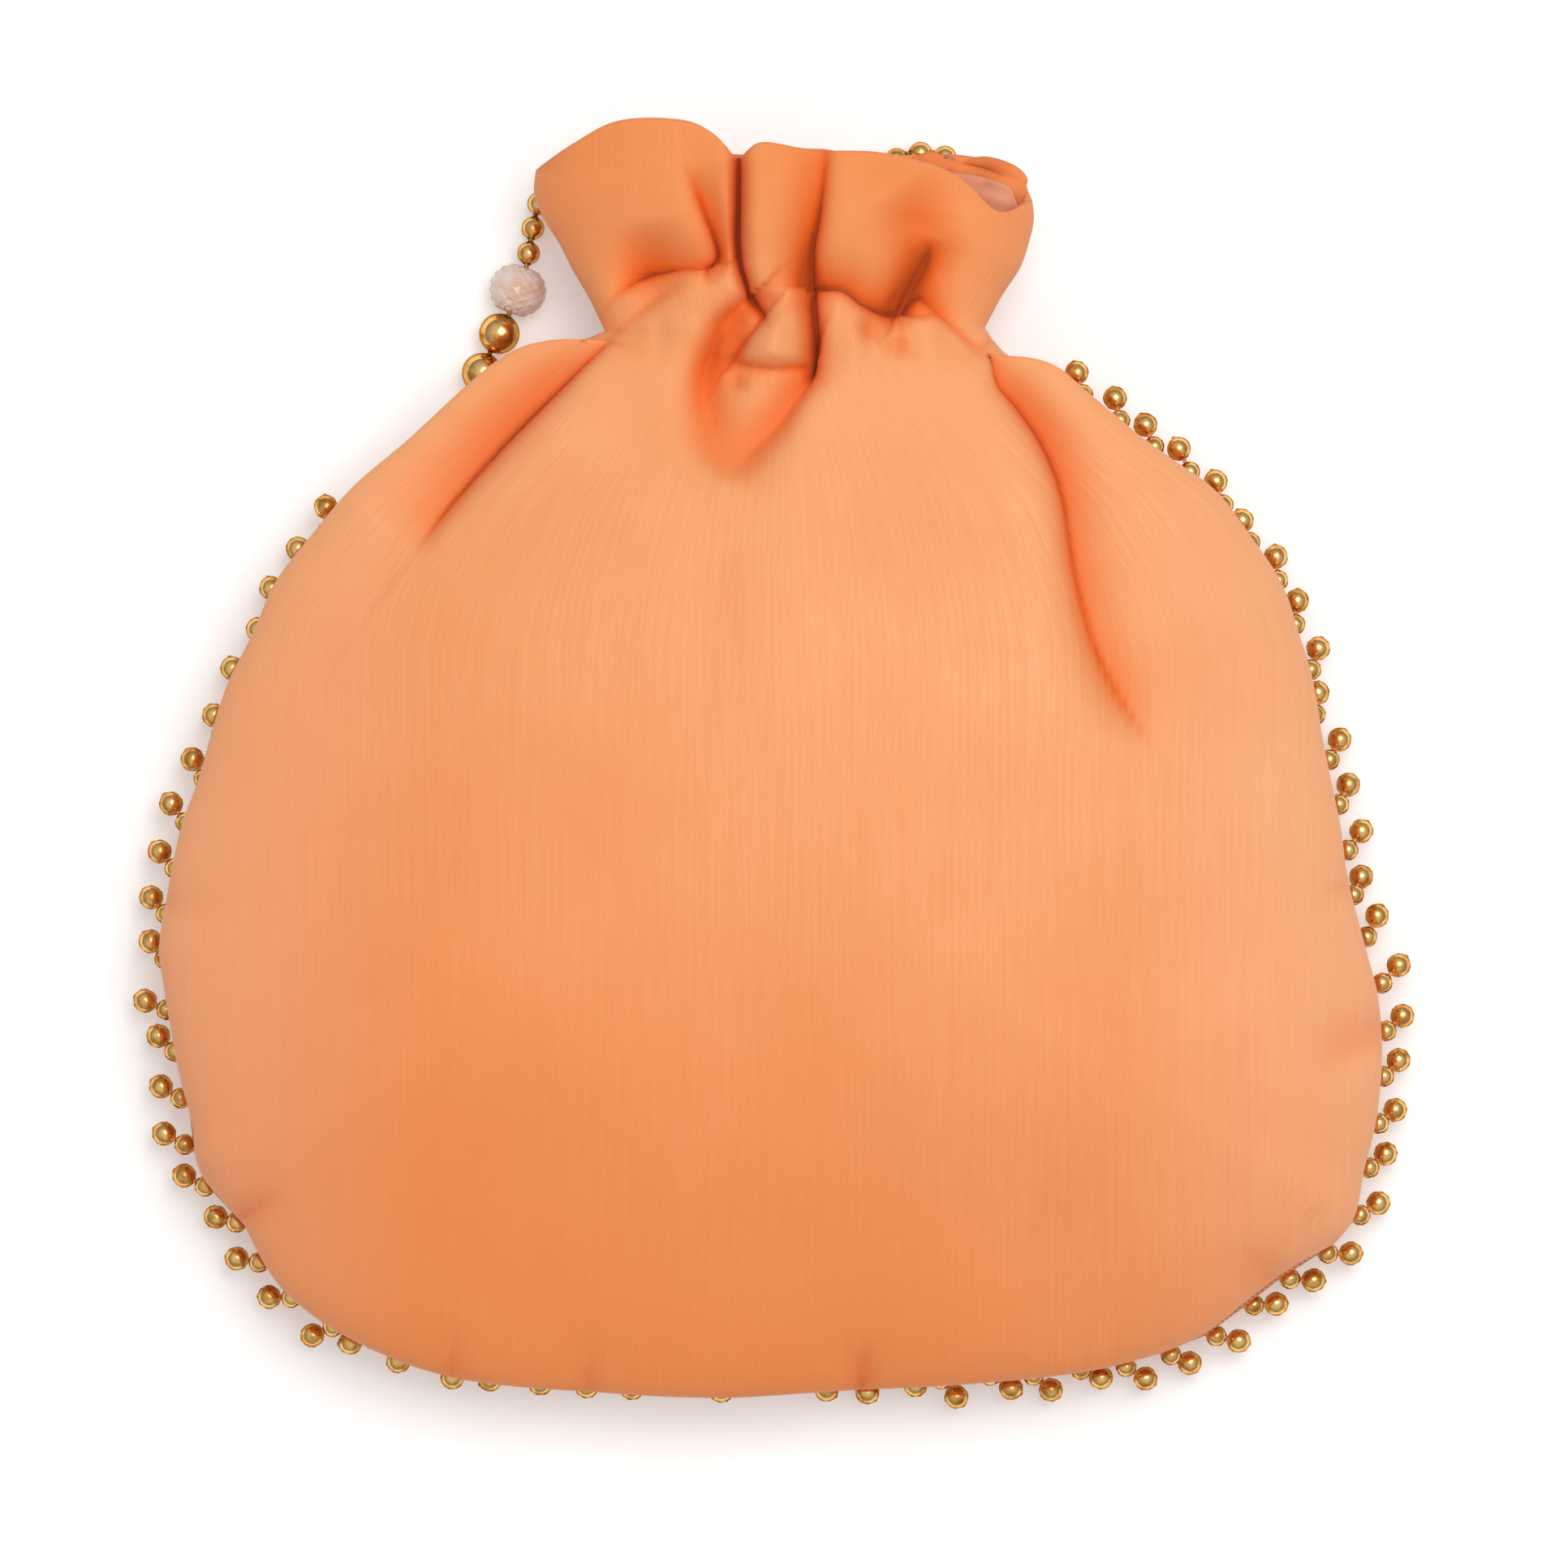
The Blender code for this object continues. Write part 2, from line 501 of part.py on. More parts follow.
def ball_profile(diameter, start, rings):
    """The outer side of a ball as (radius, height) pairs below its top, between start angles."""
    angles = np.linspace(start, math.pi - start, rings)
    return [(0.5 * diameter * math.sin(a), 0.5 * diameter * math.cos(a)) for a in angles]


def edge_pair_profile():
    """Two beads on a stub of thread, read from the outer bead's tip down to the stub's root."""
    stub = EDGE_THREAD * 0.4
    outer_middle = EDGE_REACH + EDGE_STEP
    outer = [(r, outer_middle + z) for r, z in ball_profile(EDGE_OUTER_BEAD, 0.9, 2)]
    inner = [(r, EDGE_REACH + z) for r, z in ball_profile(EDGE_INNER_BEAD, 0.9, 2)]
    waist = [(stub, (outer_middle - EDGE_OUTER_BEAD / 2 + EDGE_REACH + EDGE_INNER_BEAD / 2) / 2)]
    tip = [(0.0, outer_middle + EDGE_OUTER_BEAD / 2)]
    return tip + outer + waist + inner + [(stub, 0.0), (0.0, 0.0)]


def edge_path():
    """The line of the edge thread, just outside the seam, from the left of the neck to the right."""
    seam = np.concatenate([LEFT_SEAM[::-1], BOTTOM_SEAM[1:], RIGHT_SEAM[1:]])
    steps = len(LEFT_SEAM), len(BOTTOM_SEAM) - 1, len(RIGHT_SEAM) - 1
    v = np.concatenate([np.linspace(1, 0, steps[0]), np.zeros(steps[1]), np.linspace(0, 1, steps[2] + 1)[1:]])
    path = np.column_stack([seam, seam_height(v)])
    total = path_lengths(path)[-1]
    count = round((total - EDGE_START - EDGE_FINISH) / EDGE_PITCH)
    path = along(path, np.linspace(EDGE_START, total - EDGE_FINISH, count + 1))
    tangent = np.gradient(path, axis=0)
    outward = np.column_stack([-tangent[:, 1], tangent[:, 0], np.zeros(len(path))])
    outward *= -1.0 / np.linalg.norm(outward, axis=1)[:, None]
    tangent /= np.linalg.norm(tangent, axis=1)[:, None]
    beside = outward * (CLOTH + 2 * TOUCH_GAP + EDGE_THREAD / 2)
    return path + beside - np.array([0, 0, TOUCH_GAP]), outward, tangent


def bead_edging(look, collection, cutters):
    """The edge thread with all its pairs of beads, fused into one trim."""
    path, outward, tangent = edge_path()
    thread = place("edge_thread", cord_curve("edge_thread", path, EDGE_THREAD, False), look, cutters)
    thread.data.bevel_resolution = 0
    pair = turned_mesh("edge_pair", edge_pair_profile(), 5, cutters)
    bm = bmesh.new()
    lean, droop = math.radians(EDGE_LEAN), math.radians(EDGE_DROOP)
    for index in range(1, len(path) - 1):
        to_mouth = -1.0 if path[index, 0] < 0 else 1.0
        level = math.cos(lean) * outward[index] + to_mouth * math.sin(lean) * tangent[index]
        axis = Vector(math.cos(droop) * level - np.array([0, 0, math.sin(droop)]))
        turn = Vector((0, 0, 1)).rotation_difference(axis).to_matrix().to_4x4()
        copy = pair.copy()
        copy.transform(Matrix.Translation(path[index]) @ turn)
        bm.from_mesh(copy)
    beads_mesh = bpy.data.meshes.new("edge_beads")
    bm.to_mesh(beads_mesh)
    bm.free()
    beads = place("edge_beads", beads_mesh, look, cutters)
    edging = place("bead_edging", mesh_of(thread), look, collection)
    edging.data.shade_smooth()
    union = edging.modifiers.new("beads", "BOOLEAN")
    union.operation = "UNION"
    union.solver = "EXACT"
    union.object = beads
    bpy.data.objects.remove(thread)
    beads.hide_render = True
    beads.display_type = "WIRE"
    return edging


def drawstring_path():
    """A flattened ring between the gathered cloth and the lining."""
    angles = np.linspace(0, 2 * math.pi, DRAWSTRING_POINTS, endpoint=False)
    beside = LINING + TOUCH_GAP + DRAWSTRING / 2
    low = MOUTH_FLOOR - beside
    high = MOUTH_TOP + beside
    left, right = LEFT_SEAM[-1], RIGHT_SEAM[-1]
    half = (right[0] - left[0]) / 2 - TOUCH_GAP - DRAWSTRING / 2
    ring = np.linspace(0.5, 0.5, DRAWSTRING_POINTS) + 0.5 * half / ((right[0] - left[0]) / 2) * np.cos(angles)
    level = left + ring[:, None] * (right - left)
    z = (high + low) / 2 + (high - low) / 2 * np.sin(angles)
    return np.column_stack([level, z])


def under_back(u, v, clearance):
    """A point just outside the back, below a share across and up it."""
    shares = np.array([[u, u + 0.01, u], [v, v, v + 0.01]])
    points, z = back_surface(shares[0], shares[1])
    here, beside, above = np.column_stack([points, z])
    outward = np.cross(above - here, beside - here)
    return here + outward / np.linalg.norm(outward) * (CLOTH + clearance)


def strand():
    """The handle's route, with the kind of each bead and the joints between the beads along it."""
    ends = [under_back(u, v, 2 * TOUCH_GAP + HANDLE_THREAD / 2) for u, v in HANDLE_ANCHORS]
    middle = [(x * MM, y * MM) for x, y in HANDLE_ROUTE]
    route = smooth_path([ends[0][:2]] + middle + [ends[1][:2]], ROUTE_POINTS)
    total = path_lengths(route)[-1]
    kinds, joints = [], [STRAND_LEAD]
    while True:
        kind = STRAND_PATTERN[len(kinds) % len(STRAND_PATTERN)]
        end = joints[-1] + BEAD_LENGTHS[kind] + STRAND_GAP
        if end > total - STRAND_TAIL:
            return route, kinds, np.array(joints), [end[2] for end in ends]
        kinds.append(kind)
        joints.append(end)


def joint_heights(kinds):
    """How high the thread runs between beads that lie on the table, with no step too steep."""
    lift = np.array([BEAD_WIDTHS[kind] / 2 + TABLE_GAP for kind in kinds])
    heights = np.maximum(np.append(lift, 0), np.append(0, lift))
    for index in range(1, len(heights)):
        heights[index] = max(heights[index], heights[index - 1] - STRAND_STEP)
    for index in range(len(heights) - 2, -1, -1):
        heights[index] = max(heights[index], heights[index + 1] - STRAND_STEP)
    return heights


def bead_mesh(kind, collection):
    bore = HANDLE_THREAD / 2 + BEAD_CLEARANCE
    rings, steps = {"small": (3, 6), "large": (5, 8), "crystal": (4, 8)}[kind]
    diameter = BEAD_WIDTHS[kind]
    start = math.asin(bore / (diameter / 2))
    outer = ball_profile(diameter, start, rings)
    if kind == "crystal":
        shrink = BEAD_LENGTHS[kind] / (outer[0][1] - outer[-1][1])
        outer = [(radius, height * shrink) for radius, height in outer]
    return turned_mesh(kind + "_bead", outer, steps, collection)


def handle(looks, collection, cutters):
    """The thread and the beads strung on it, each bead a piece of its own."""
    route, kinds, joints, end_heights = strand()
    heights = joint_heights(kinds)
    nodes = np.column_stack([along(route, joints), heights])
    shares = np.linspace(0, 1, LEAD_POINTS)[:-1]
    total = path_lengths(route)[-1]
    lead = np.column_stack([along(route, shares * joints[0]),
                            heights[0] + (end_heights[0] - heights[0]) * (1 - shares) ** 2])
    tail = np.column_stack([along(route, total - shares[::-1] * (total - joints[-1])),
                            heights[-1] + (end_heights[1] - heights[-1]) * (1 - shares[::-1]) ** 2])
    path = np.concatenate([lead, nodes, tail])
    place("handle_thread", cord_curve("handle_thread", path, HANDLE_THREAD, False), looks["thread"],
          collection)
    meshes = {kind: bead_mesh(kind, cutters) for kind in BEAD_WIDTHS}
    counts = dict.fromkeys(meshes, 0)
    for kind, start, end in zip(kinds, nodes[:-1], nodes[1:]):
        counts[kind] += 1
        bead = place(f"{kind}_bead_{counts[kind]:02d}", meshes[kind].copy(), looks[kind], collection)
        turn = Vector((0, 0, 1)).rotation_difference(Vector(end - start)).to_matrix().to_4x4()
        bead.matrix_world = Matrix.Translation((start + end) / 2) @ turn


def main():
    for thing in list(bpy.data.objects):
        bpy.data.objects.remove(thing, do_unlink=True)
    bag = bpy.data.collections.new("potli_bag")
    cutters = bpy.data.collections.new("guides")
    for collection in (bag, cutters):
        bpy.context.scene.collection.children.link(collection)
    peach = material("peach slub silk", (0.90, 0.42, 0.16), 0.55)
    satin = material("blush satin lining", (0.82, 0.42, 0.30), 0.5)
    cotton = material("peach cotton cord", (0.88, 0.45, 0.22), 0.8)
    gold = material("gold bead", (0.83, 0.55, 0.16), 0.25, 1.0)
    clear = material("clear cut acrylic", (0.85, 0.78, 0.74), 0.08)
    cloth_piece("front_panel", cloth_mesh("front_panel", FRONT_CELLS, front_surface, 0.30, 1),
                CLOTH, peach, bag)
    cloth_piece("back_panel", cloth_mesh("back_panel", BACK_CELLS, back_surface, 0.25, -1),
                CLOTH, peach, bag)
    for name, side in (("front_lining", 1), ("back_lining", -1)):
        mesh = cloth_mesh(name, LINING_CELLS, lambda u, v: lining_surface(u, v, side), 0.25, side)
        cloth_piece(name, mesh, LINING, satin, bag)
    place("drawstring", cord_curve("drawstring", drawstring_path(), DRAWSTRING, True), cotton, bag)
    bead_edging(gold, bag, cutters)
    handle({"thread": cotton, "small": gold, "large": gold, "crystal": clear}, bag, cutters)


main()
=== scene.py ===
import math

import bpy
import numpy as np
from mathutils import Matrix, Vector, noise


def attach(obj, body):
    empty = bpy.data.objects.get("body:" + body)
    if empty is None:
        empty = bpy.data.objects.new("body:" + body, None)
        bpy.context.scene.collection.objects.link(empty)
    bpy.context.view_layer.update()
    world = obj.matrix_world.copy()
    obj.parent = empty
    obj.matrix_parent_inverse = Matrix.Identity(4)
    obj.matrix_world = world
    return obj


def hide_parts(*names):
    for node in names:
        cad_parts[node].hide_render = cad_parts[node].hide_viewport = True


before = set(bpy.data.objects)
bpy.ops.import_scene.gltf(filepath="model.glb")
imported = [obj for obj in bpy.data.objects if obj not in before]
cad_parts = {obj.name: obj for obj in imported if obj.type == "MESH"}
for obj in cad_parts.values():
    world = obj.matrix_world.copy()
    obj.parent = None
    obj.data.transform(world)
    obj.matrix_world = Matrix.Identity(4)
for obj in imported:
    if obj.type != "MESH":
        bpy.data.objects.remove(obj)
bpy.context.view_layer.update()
bpy.ops.object.select_all(action="DESELECT")
mm = 0.001


# camera, straight above the bag as it lies on its back
view = {
    "middle": (0.0013, -0.0042),    # metres, what the photograph's centre shows
    "width": 0.2937,                # metres across the square frame, at the height of the seam
    "seamLevel": 0.018,
    "distance": 6.0,                # far off, so that the frill isn't drawn larger than the seam
}
bpy.ops.object.camera_add(location=(*view["middle"], view["seamLevel"] + view["distance"]))
camera = bpy.context.object
camera.data.sensor_width = 36
camera.data.lens = 36 * view["distance"] / view["width"]
bpy.context.scene.camera = camera
print("camera placed")


def deselect():
    bpy.ops.object.select_all(action="DESELECT")


def linearColour(code):
    # sRGB hex to the linear values that the shaders want
    parts = [int(code[i:i + 2], 16) / 255 for i in (1, 3, 5)]
    return (*[p / 12.92 if p <= 0.04045 else ((p + 0.055) / 1.055) ** 2.4 for p in parts], 1)


def addNode(tree, kind, inputs=None, **settings):
    # one node with its settings; its inputs are values, hex colours, or nodes and sockets to link from
    made = tree.nodes.new(kind)
    for name, value in settings.items():
        setattr(made, name, value)
    for name, value in (inputs or {}).items():
        if isinstance(value, bpy.types.Node):
            value = value.outputs[0]
        if isinstance(value, bpy.types.NodeSocket):
            tree.links.new(value, made.inputs[name])
        else:
            made.inputs[name].default_value = linearColour(value) if isinstance(value, str) else value
    return made


def newMaterial(name):
    made = bpy.data.materials.new(name)
    made.use_nodes = True
    made.node_tree.nodes.clear()
    return made, made.node_tree


def wear(piece, finish):
    piece.data.materials.clear()
    piece.data.materials.append(finish)


def smoothStep(share):
    share = np.clip(share, 0.0, 1.0)
    return share * share * (3.0 - 2.0 * share)


def ramp(value, low, high):
    return smoothStep((value - low) / (high - low))


def through(stations, place):
    # smooth curve through (station, value) pairs, read at each place
    knots, values = np.array(stations, dtype=float).T
    slopes = np.gradient(values, knots)
    index = np.clip(np.searchsorted(knots, place) - 1, 0, len(knots) - 2)
    span = knots[index + 1] - knots[index]
    s = np.clip((place - knots[index]) / span, 0.0, 1.0)
    start = (1 + 2 * s) * (1 - s) ** 2 * values[index] + s * (1 - s) ** 2 * span * slopes[index]
    end = s * s * (3 - 2 * s) * values[index + 1] - s * s * (1 - s) * span * slopes[index + 1]
    return start + end


def pathLengths(path):
    return np.concatenate([[0.0], np.cumsum(np.linalg.norm(np.diff(path, axis=0), axis=1))])


def along(path, distance):
    lengths = pathLengths(path)
    return np.stack([np.interp(distance, lengths, axis) for axis in path.T], axis=-1)


def smoothPath(points, count):
    # evenly spaced points along a smooth curve through the given ones
    points = np.array(points, dtype=float)
    steps = np.linalg.norm(np.diff(points, axis=0), axis=1)
    knots = np.concatenate([[0.0], np.cumsum(np.sqrt(steps))])
    fine = np.linspace(0.0, knots[-1], 40 * len(points))
    curve = np.stack([through(np.stack([knots, axis], axis=1), fine) for axis in points.T], axis=1)
    return along(curve, np.linspace(0.0, pathLengths(curve)[-1], count))


def mode(name):
    bpy.ops.object.mode_set(mode=name)


def activate(piece):
    deselect()
    piece.select_set(True)
    bpy.context.view_layer.objects.active = piece


def applyAll(piece):
    activate(piece)
    for modifier in list(piece.modifiers):
        bpy.ops.object.modifier_apply(modifier=modifier.name)


def standing(first, place, axis, spin=0):
    # a copy of a piece, stood along an axis at a place
    turn = Vector((0, 0, 1)).rotation_difference(Vector(axis)).to_matrix().to_4x4()
    copy = first.copy()
    copy.data = first.data.copy()
    bpy.context.collection.objects.link(copy)
    copy.data.transform(Matrix.Translation(place) @ turn @ Matrix.Rotation(spin, 4, "Z"))
    return copy


def joined(name, copies):
    # copies of one shape made a single piece, with its place in its mesh
    activate(copies[0])
    for copy in copies:
        copy.select_set(True)
    bpy.ops.object.join()
    copies[0].name = copies[0].data.name = name
    return copies[0]


# handle: thread and beads, on the CAD route
strand = {
    # the thread's route in millimetres: sewn end, joints between the beads, sewn end
    "lead": ((-31.40, 77.88, 14.85), (-32.55, 76.69, 12.65), (-33.70, 75.50, 10.67), (-34.85, 74.31, 8.89),
             (-36.00, 73.12, 7.32), (-37.15, 71.93, 5.96), (-38.29, 70.73, 4.81), (-39.39, 69.49, 3.87),
             (-40.44, 68.21, 3.14), (-41.48, 66.93, 2.62), (-42.60, 65.71, 2.30)),
    "joints": ((-43.84, 64.62, 2.20), (-47.95, 62.17, 2.20), (-52.61, 61.85, 2.20), (-56.51, 64.54, 2.25),
               (-56.78, 69.17, 3.85), (-53.94, 76.73, 3.85), (-50.32, 83.97, 5.35), (-47.02, 93.06, 5.35),
               (-46.26, 97.80, 3.75), (-45.42, 102.52, 2.20), (-44.09, 107.12, 2.25), (-40.47, 110.15, 3.85),
               (-32.62, 110.14, 3.85), (-25.49, 106.36, 5.35), (-17.58, 100.76, 5.35), (-13.41, 98.39, 3.75),
               (-8.89, 96.81, 2.20), (-4.16, 96.02, 2.25), (0.62, 96.35, 3.85), (8.15, 99.19, 3.85),
               (14.22, 104.48, 5.35), (20.33, 112.00, 5.35), (24.56, 114.15, 3.75), (29.32, 114.37, 2.20),
               (33.78, 112.69, 2.25), (37.34, 109.51, 3.85), (40.84, 102.27, 3.85), (41.89, 94.25, 3.85)),
    "tail": ((41.83, 92.47, 3.94), (41.62, 90.69, 4.19), (41.25, 88.94, 4.62), (40.72, 87.23, 5.23),
             (40.07, 85.56, 6.00), (39.37, 83.92, 6.95), (38.62, 82.29, 8.06), (37.86, 80.67, 9.35),
             (37.09, 79.05, 10.81), (36.34, 77.43, 12.45), (35.63, 75.79, 14.25)),
    "length": 0.2184,               # metres, along the route
    "pattern": ("small",) * 4 + ("large",) * 2 + ("crystal",),
    "turn": 1.3,                    # radians that each bead is turned on from the one before
    "thread": 0.001,
    "widths": {"small": 0.0043, "large": 0.0076, "crystal": 0.0106},
    "lengths": {"small": 0.0043, "large": 0.0076, "crystal": 0.0092},
    "spare": 0.0001,                # left between neighbours
    "bore": 0.0008,                 # radius
    "segments": {"small": 20, "large": 32, "crystal": 14},
    "rings": {"small": 14, "large": 20, "crystal": 9},
    "facet": 0.00035,               # how far the middle of each of the crystal's faces is raised
}


def threadTube(name, path, diameter, closed=False):
    # a round thread along a path of points
    curve = bpy.data.curves.new(name, "CURVE")
    curve.dimensions = "3D"
    curve.bevel_depth = diameter / 2
    curve.bevel_resolution = 3
    curve.use_fill_caps = not closed
    spline = curve.splines.new("POLY")
    spline.points.add(len(path) - 1)
    for point, position in zip(spline.points, path):
        point.co = (*position, 1.0)
    spline.use_cyclic_u = closed
    piece = bpy.data.objects.new(name, curve)
    bpy.context.collection.objects.link(piece)
    activate(piece)
    bpy.ops.object.convert(target="MESH")
    bpy.ops.object.shade_smooth()
    return piece


def strungBead(kind):
    # a ball opened at both poles and bridged through: the bore. The crystal's faces are poked into facets
    deselect()
    bpy.ops.mesh.primitive_uv_sphere_add(segments=strand["segments"][kind], ring_count=strand["rings"][kind],
                                         radius=strand["widths"][kind] / 2)
    bead = bpy.context.object
    top = max(vertex.co.z for vertex in bead.data.vertices)
    rings = sorted({round(vertex.co.z, 7) for vertex in bead.data.vertices})
    mode("EDIT")
    bpy.ops.mesh.select_all(action="DESELECT")
    mode("OBJECT")
    for vertex in bead.data.vertices:
        vertex.select = abs(vertex.co.z) > top - 1e-6
    mode("EDIT")
    bpy.ops.mesh.select_mode(type="VERT")
    bpy.ops.mesh.delete(type="VERT")
    if kind == "crystal":
        bpy.ops.mesh.select_all(action="SELECT")
        bpy.ops.mesh.poke(offset=strand["facet"])
    mode("OBJECT")
    for vertex in bead.data.vertices:
        if abs(abs(vertex.co.z) - rings[-2]) < 1e-6:
            scale = strand["bore"] / math.hypot(vertex.co.x, vertex.co.y)
            vertex.co.x *= scale
            vertex.co.y *= scale
    mode("EDIT")
    bpy.ops.mesh.select_all(action="DESELECT")
    bpy.ops.mesh.select_non_manifold(extend=False)
    bpy.ops.mesh.bridge_edge_loops()
    bpy.ops.mesh.select_all(action="SELECT")
    bpy.ops.mesh.normals_make_consistent(inside=False)
    mode("OBJECT")
    height = max(v.co.z for v in bead.data.vertices) - min(v.co.z for v in bead.data.vertices)
    bead.data.transform(Matrix.Scale((strand["lengths"][kind] - strand["spare"]) / height, 4, (0, 0, 1)))
    if kind != "crystal":
        bpy.ops.object.shade_smooth_by_angle(angle=math.radians(50))
    return bead


def makeStrand():
    lead, joints, tail = (np.array(strand[key]) * mm for key in ("lead", "joints", "tail"))
    path = np.concatenate([lead, joints, tail])
    thread = threadTube("handleThread", path, strand["thread"])
    beads = {}
    for kind in strand["widths"]:
        first = strungBead(kind)
        beads[kind] = joined(kind + "Beads", [
            standing(first, (start + end) / 2, end - start, index * strand["turn"])
            for index, (start, end) in enumerate(zip(joints[:-1], joints[1:]))
            if strand["pattern"][index % len(strand["pattern"])] == kind])
        bpy.data.objects.remove(first)
    return thread, path, beads


handleThread, handlePath, handleBeads = makeStrand()
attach(handleThread, "root")
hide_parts("handle_thread")
for kind, piece in handleBeads.items():
    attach(piece, "root")
    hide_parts(*[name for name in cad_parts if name.startswith(kind + "_bead")])
print("handle strung:", {kind: len(piece.data.polygons) for kind, piece in handleBeads.items()})


# cloth: outline of the stuffed bag from above, in millimetres
bag = {
    "left": ((-99.3, -86.5), (-103.9, -81.9), (-108.3, -76.2), (-109.5, -67.1), (-111.8, -58),
             (-113.5, -48.9), (-115.1, -39.7), (-115.7, -35.2), (-114.1, -24.5), (-111.6, -12.4),
             (-108.3, -3.3), (-105.7, 5.9), (-102.7, 15), (-98.1, 24.1), (-94.2, 33.2), (-87.2, 42.3),
             (-79.4, 51.5), (-68.8, 60.6), (-58.7, 69.7), (-53, 74.3), (-44.6, 78.8), (-32.8, 82.5)),
    "right": ((104.8, -89.9), (108, -85.3), (109.8, -76.2), (112.1, -67.1), (113.3, -54.9), (112.6, -44.3),
              (110.3, -35.2), (106.8, -21.5), (105.6, -12.4), (103.7, -3.3), (101.9, 5.9), (100.4, 15),
              (97.7, 24.1), (94.6, 33.2), (89, 41.8), (82, 50.8), (74.9, 56), (67.6, 61.4), (63.5, 65.1),
              (58, 69.7), (51.6, 74.3), (42.9, 79.6), (40.5, 82.5)),
    "bottom": ((-99.3, -86.5), (-96.2, -92.6), (-92.2, -98.6), (-86.3, -103.6), (-79, -108.1), (-61.6, -115),
               (-31.7, -118.2), (-10.3, -119.1), (11, -117.9), (36.9, -116.5), (52.1, -115), (63.5, -113),
               (78.2, -108.1), (89.6, -99.8), (95.8, -95.2), (104.8, -89.9)),
    "leftFrill": ((-32.8, 82.5), (-35.6, 87.9), (-38.4, 92.5), (-40.8, 97.1), (-43.7, 101.6), (-45.5, 106.2),
                  (-45.2, 110.7)),
    "rightFrill": ((40.5, 82.5), (42.9, 87.9), (45.7, 92.5), (47.2, 97.1), (48.1, 101.6), (47.8, 105)),
    "frontRim": ((-45.2, 110.7), (-38.4, 115.3), (-30, 119.4), (-16.3, 119.2), (-10.3, 115.6), (-7.1, 112.6),
                 (-3.6, 115.4), (6.5, 114.1), (20.1, 113.4), (33.8, 109.2), (41.4, 102.8), (45.2, 103.4),
                 (47.8, 105)),
    "backRim": ((-45.2, 110.7), (-35, 113), (-20, 114), (0, 113.6), (23.2, 113.7), (33.8, 113.8),
                (41.5, 112.3), (46, 110.2), (47, 107), (47.8, 105)),
    # how far the seam hides under the stuffed front, along each side
    "leftHide": ((0, 1), (0.1, 1.3), (0.22, 2.8), (0.45, 4), (0.57, 5.2), (0.7, 4.5), (0.85, 5), (1, 2)),
    "rightHide": ((0, 1.4), (0.15, 1.9), (0.4, 1.9), (0.5, 2.2), (0.6, 2.2), (0.7, 2.6), (0.83, 2.8),
                  (0.9, 4), (1, 2)),
    "bottomHide": ((0, 1), (0.1, 2.4), (0.2, 4.5), (0.35, 6), (0.5, 6), (0.6, 4.6), (0.7, 3.4), (0.76, 2.4),
                   (0.84, 1.2), (1, 1)),
    "seamPoints": 220, "frillPoints": 60, "rimPoints": 200,     # of each side once it is smoothed
    "cornerRun": 0.2,               # share of a side over which it is drawn to the corner that it meets
    # heights above the table
    "bellyTop": 52, "seam": 11, "neckSeam": 21, "neckTop": 38, "neckUnder": 9.5,
    "frillTop": 42, "frillUnder": 11.5,
    "seamGap": 0.15,                # from the seam's middle to either panel
    "frontRounding": 98,            # from the front seam in to where the belly levels out
    "backRounding": 34, "middle": (0, -18),
    "bulge": 6,                     # from the seam in to where the front bulges out most
    "wall": 0.9, "hem": 0.8,        # and how much thicker the hem at the rim is
    "hemStart": (1.72, 1.78),       # how far up the piece it begins; the rim is at 2
    "wave": (0.9, 30),              # depth and size of the cloth's own slow waves
    "gather": (1.2, 3.5),           # and of the small gathers at the drawstring
    "ripple": (0.6, 8.5, 4),        # along the seam: depth, pitch, and how far in it reaches
    "backGathers": (2.6, 6),        # depth and number, under the neck
    "crowding": 190,                # width below which the yarns crowd towards the neck
    "frontCells": (220, 62, 108, 50),   # across, up the belly, up the shoulders, up the frill
    "backCells": (160, 40, 34, 46),
}

# how every fold is pressed into the cloth, in millimetres
pressing = {
    "points": 140, "reach": 45,     # of a route once it is smoothed; how far from it a fold is felt
    "deepest": 11,                  # that folds on top of each other may go
    "full": 6,                      # a fold this deep has all of its lap and of its painted shadow line
    "line": 0.8,                    # half the width of the painted shadow line at the bottom of a crease
    "sharp": 1.5,                   # folds with a bottom sharper than this have such a line
    "shaded": 7,                    # cloth sunk this far takes the deep painted shade
    "fade": (1, 12), "lapFade": (3, 11), "seamFade": (0, 3),    # from the seam in, over which folds begin
}

# folds of the back and the front, each in this order: route over the table; (share of it, depth) stations,
# below 0 for a roll; widths of the bank to its left as one goes along it, at start and end; the same for its
# right; how sharp the bottom is (2 round, 1 a crease). After that "lap" is how far a bank laps over it at
# start and end (positive the right one, negative the left), "shade" how much of the shade it takes, and
# "seam" marks one that starts at the sewn seam
backFolds = {
    "innerLow": (((20.9, 112.7), (29.3, 110.7), (36.9, 108.3), (45.7, 105.6)),
        ((0, 1), (0.3, 2.5), (0.8, 2.5), (1, 1)), (1.8, 1.8), (0.9, 0.9), 1.4, {"shade": 0.3}),
    "innerHigh": (((27.3, 114.3), (36.9, 111.6), (46.3, 108.4)),
        ((0, 1), (0.3, 2.2), (0.8, 2.2), (1, 1)), (1.6, 1.6), (0.9, 0.9), 1.4, {"shade": 0.3}),
    "innerEnd": (((35.3, 113.8), (41, 112.7), (46.3, 111)),
        ((0, 0.5), (0.5, 1.5), (1, 1)), (1.2, 1.2), (0.8, 0.8), 1.4, {"shade": 0.3}),
}
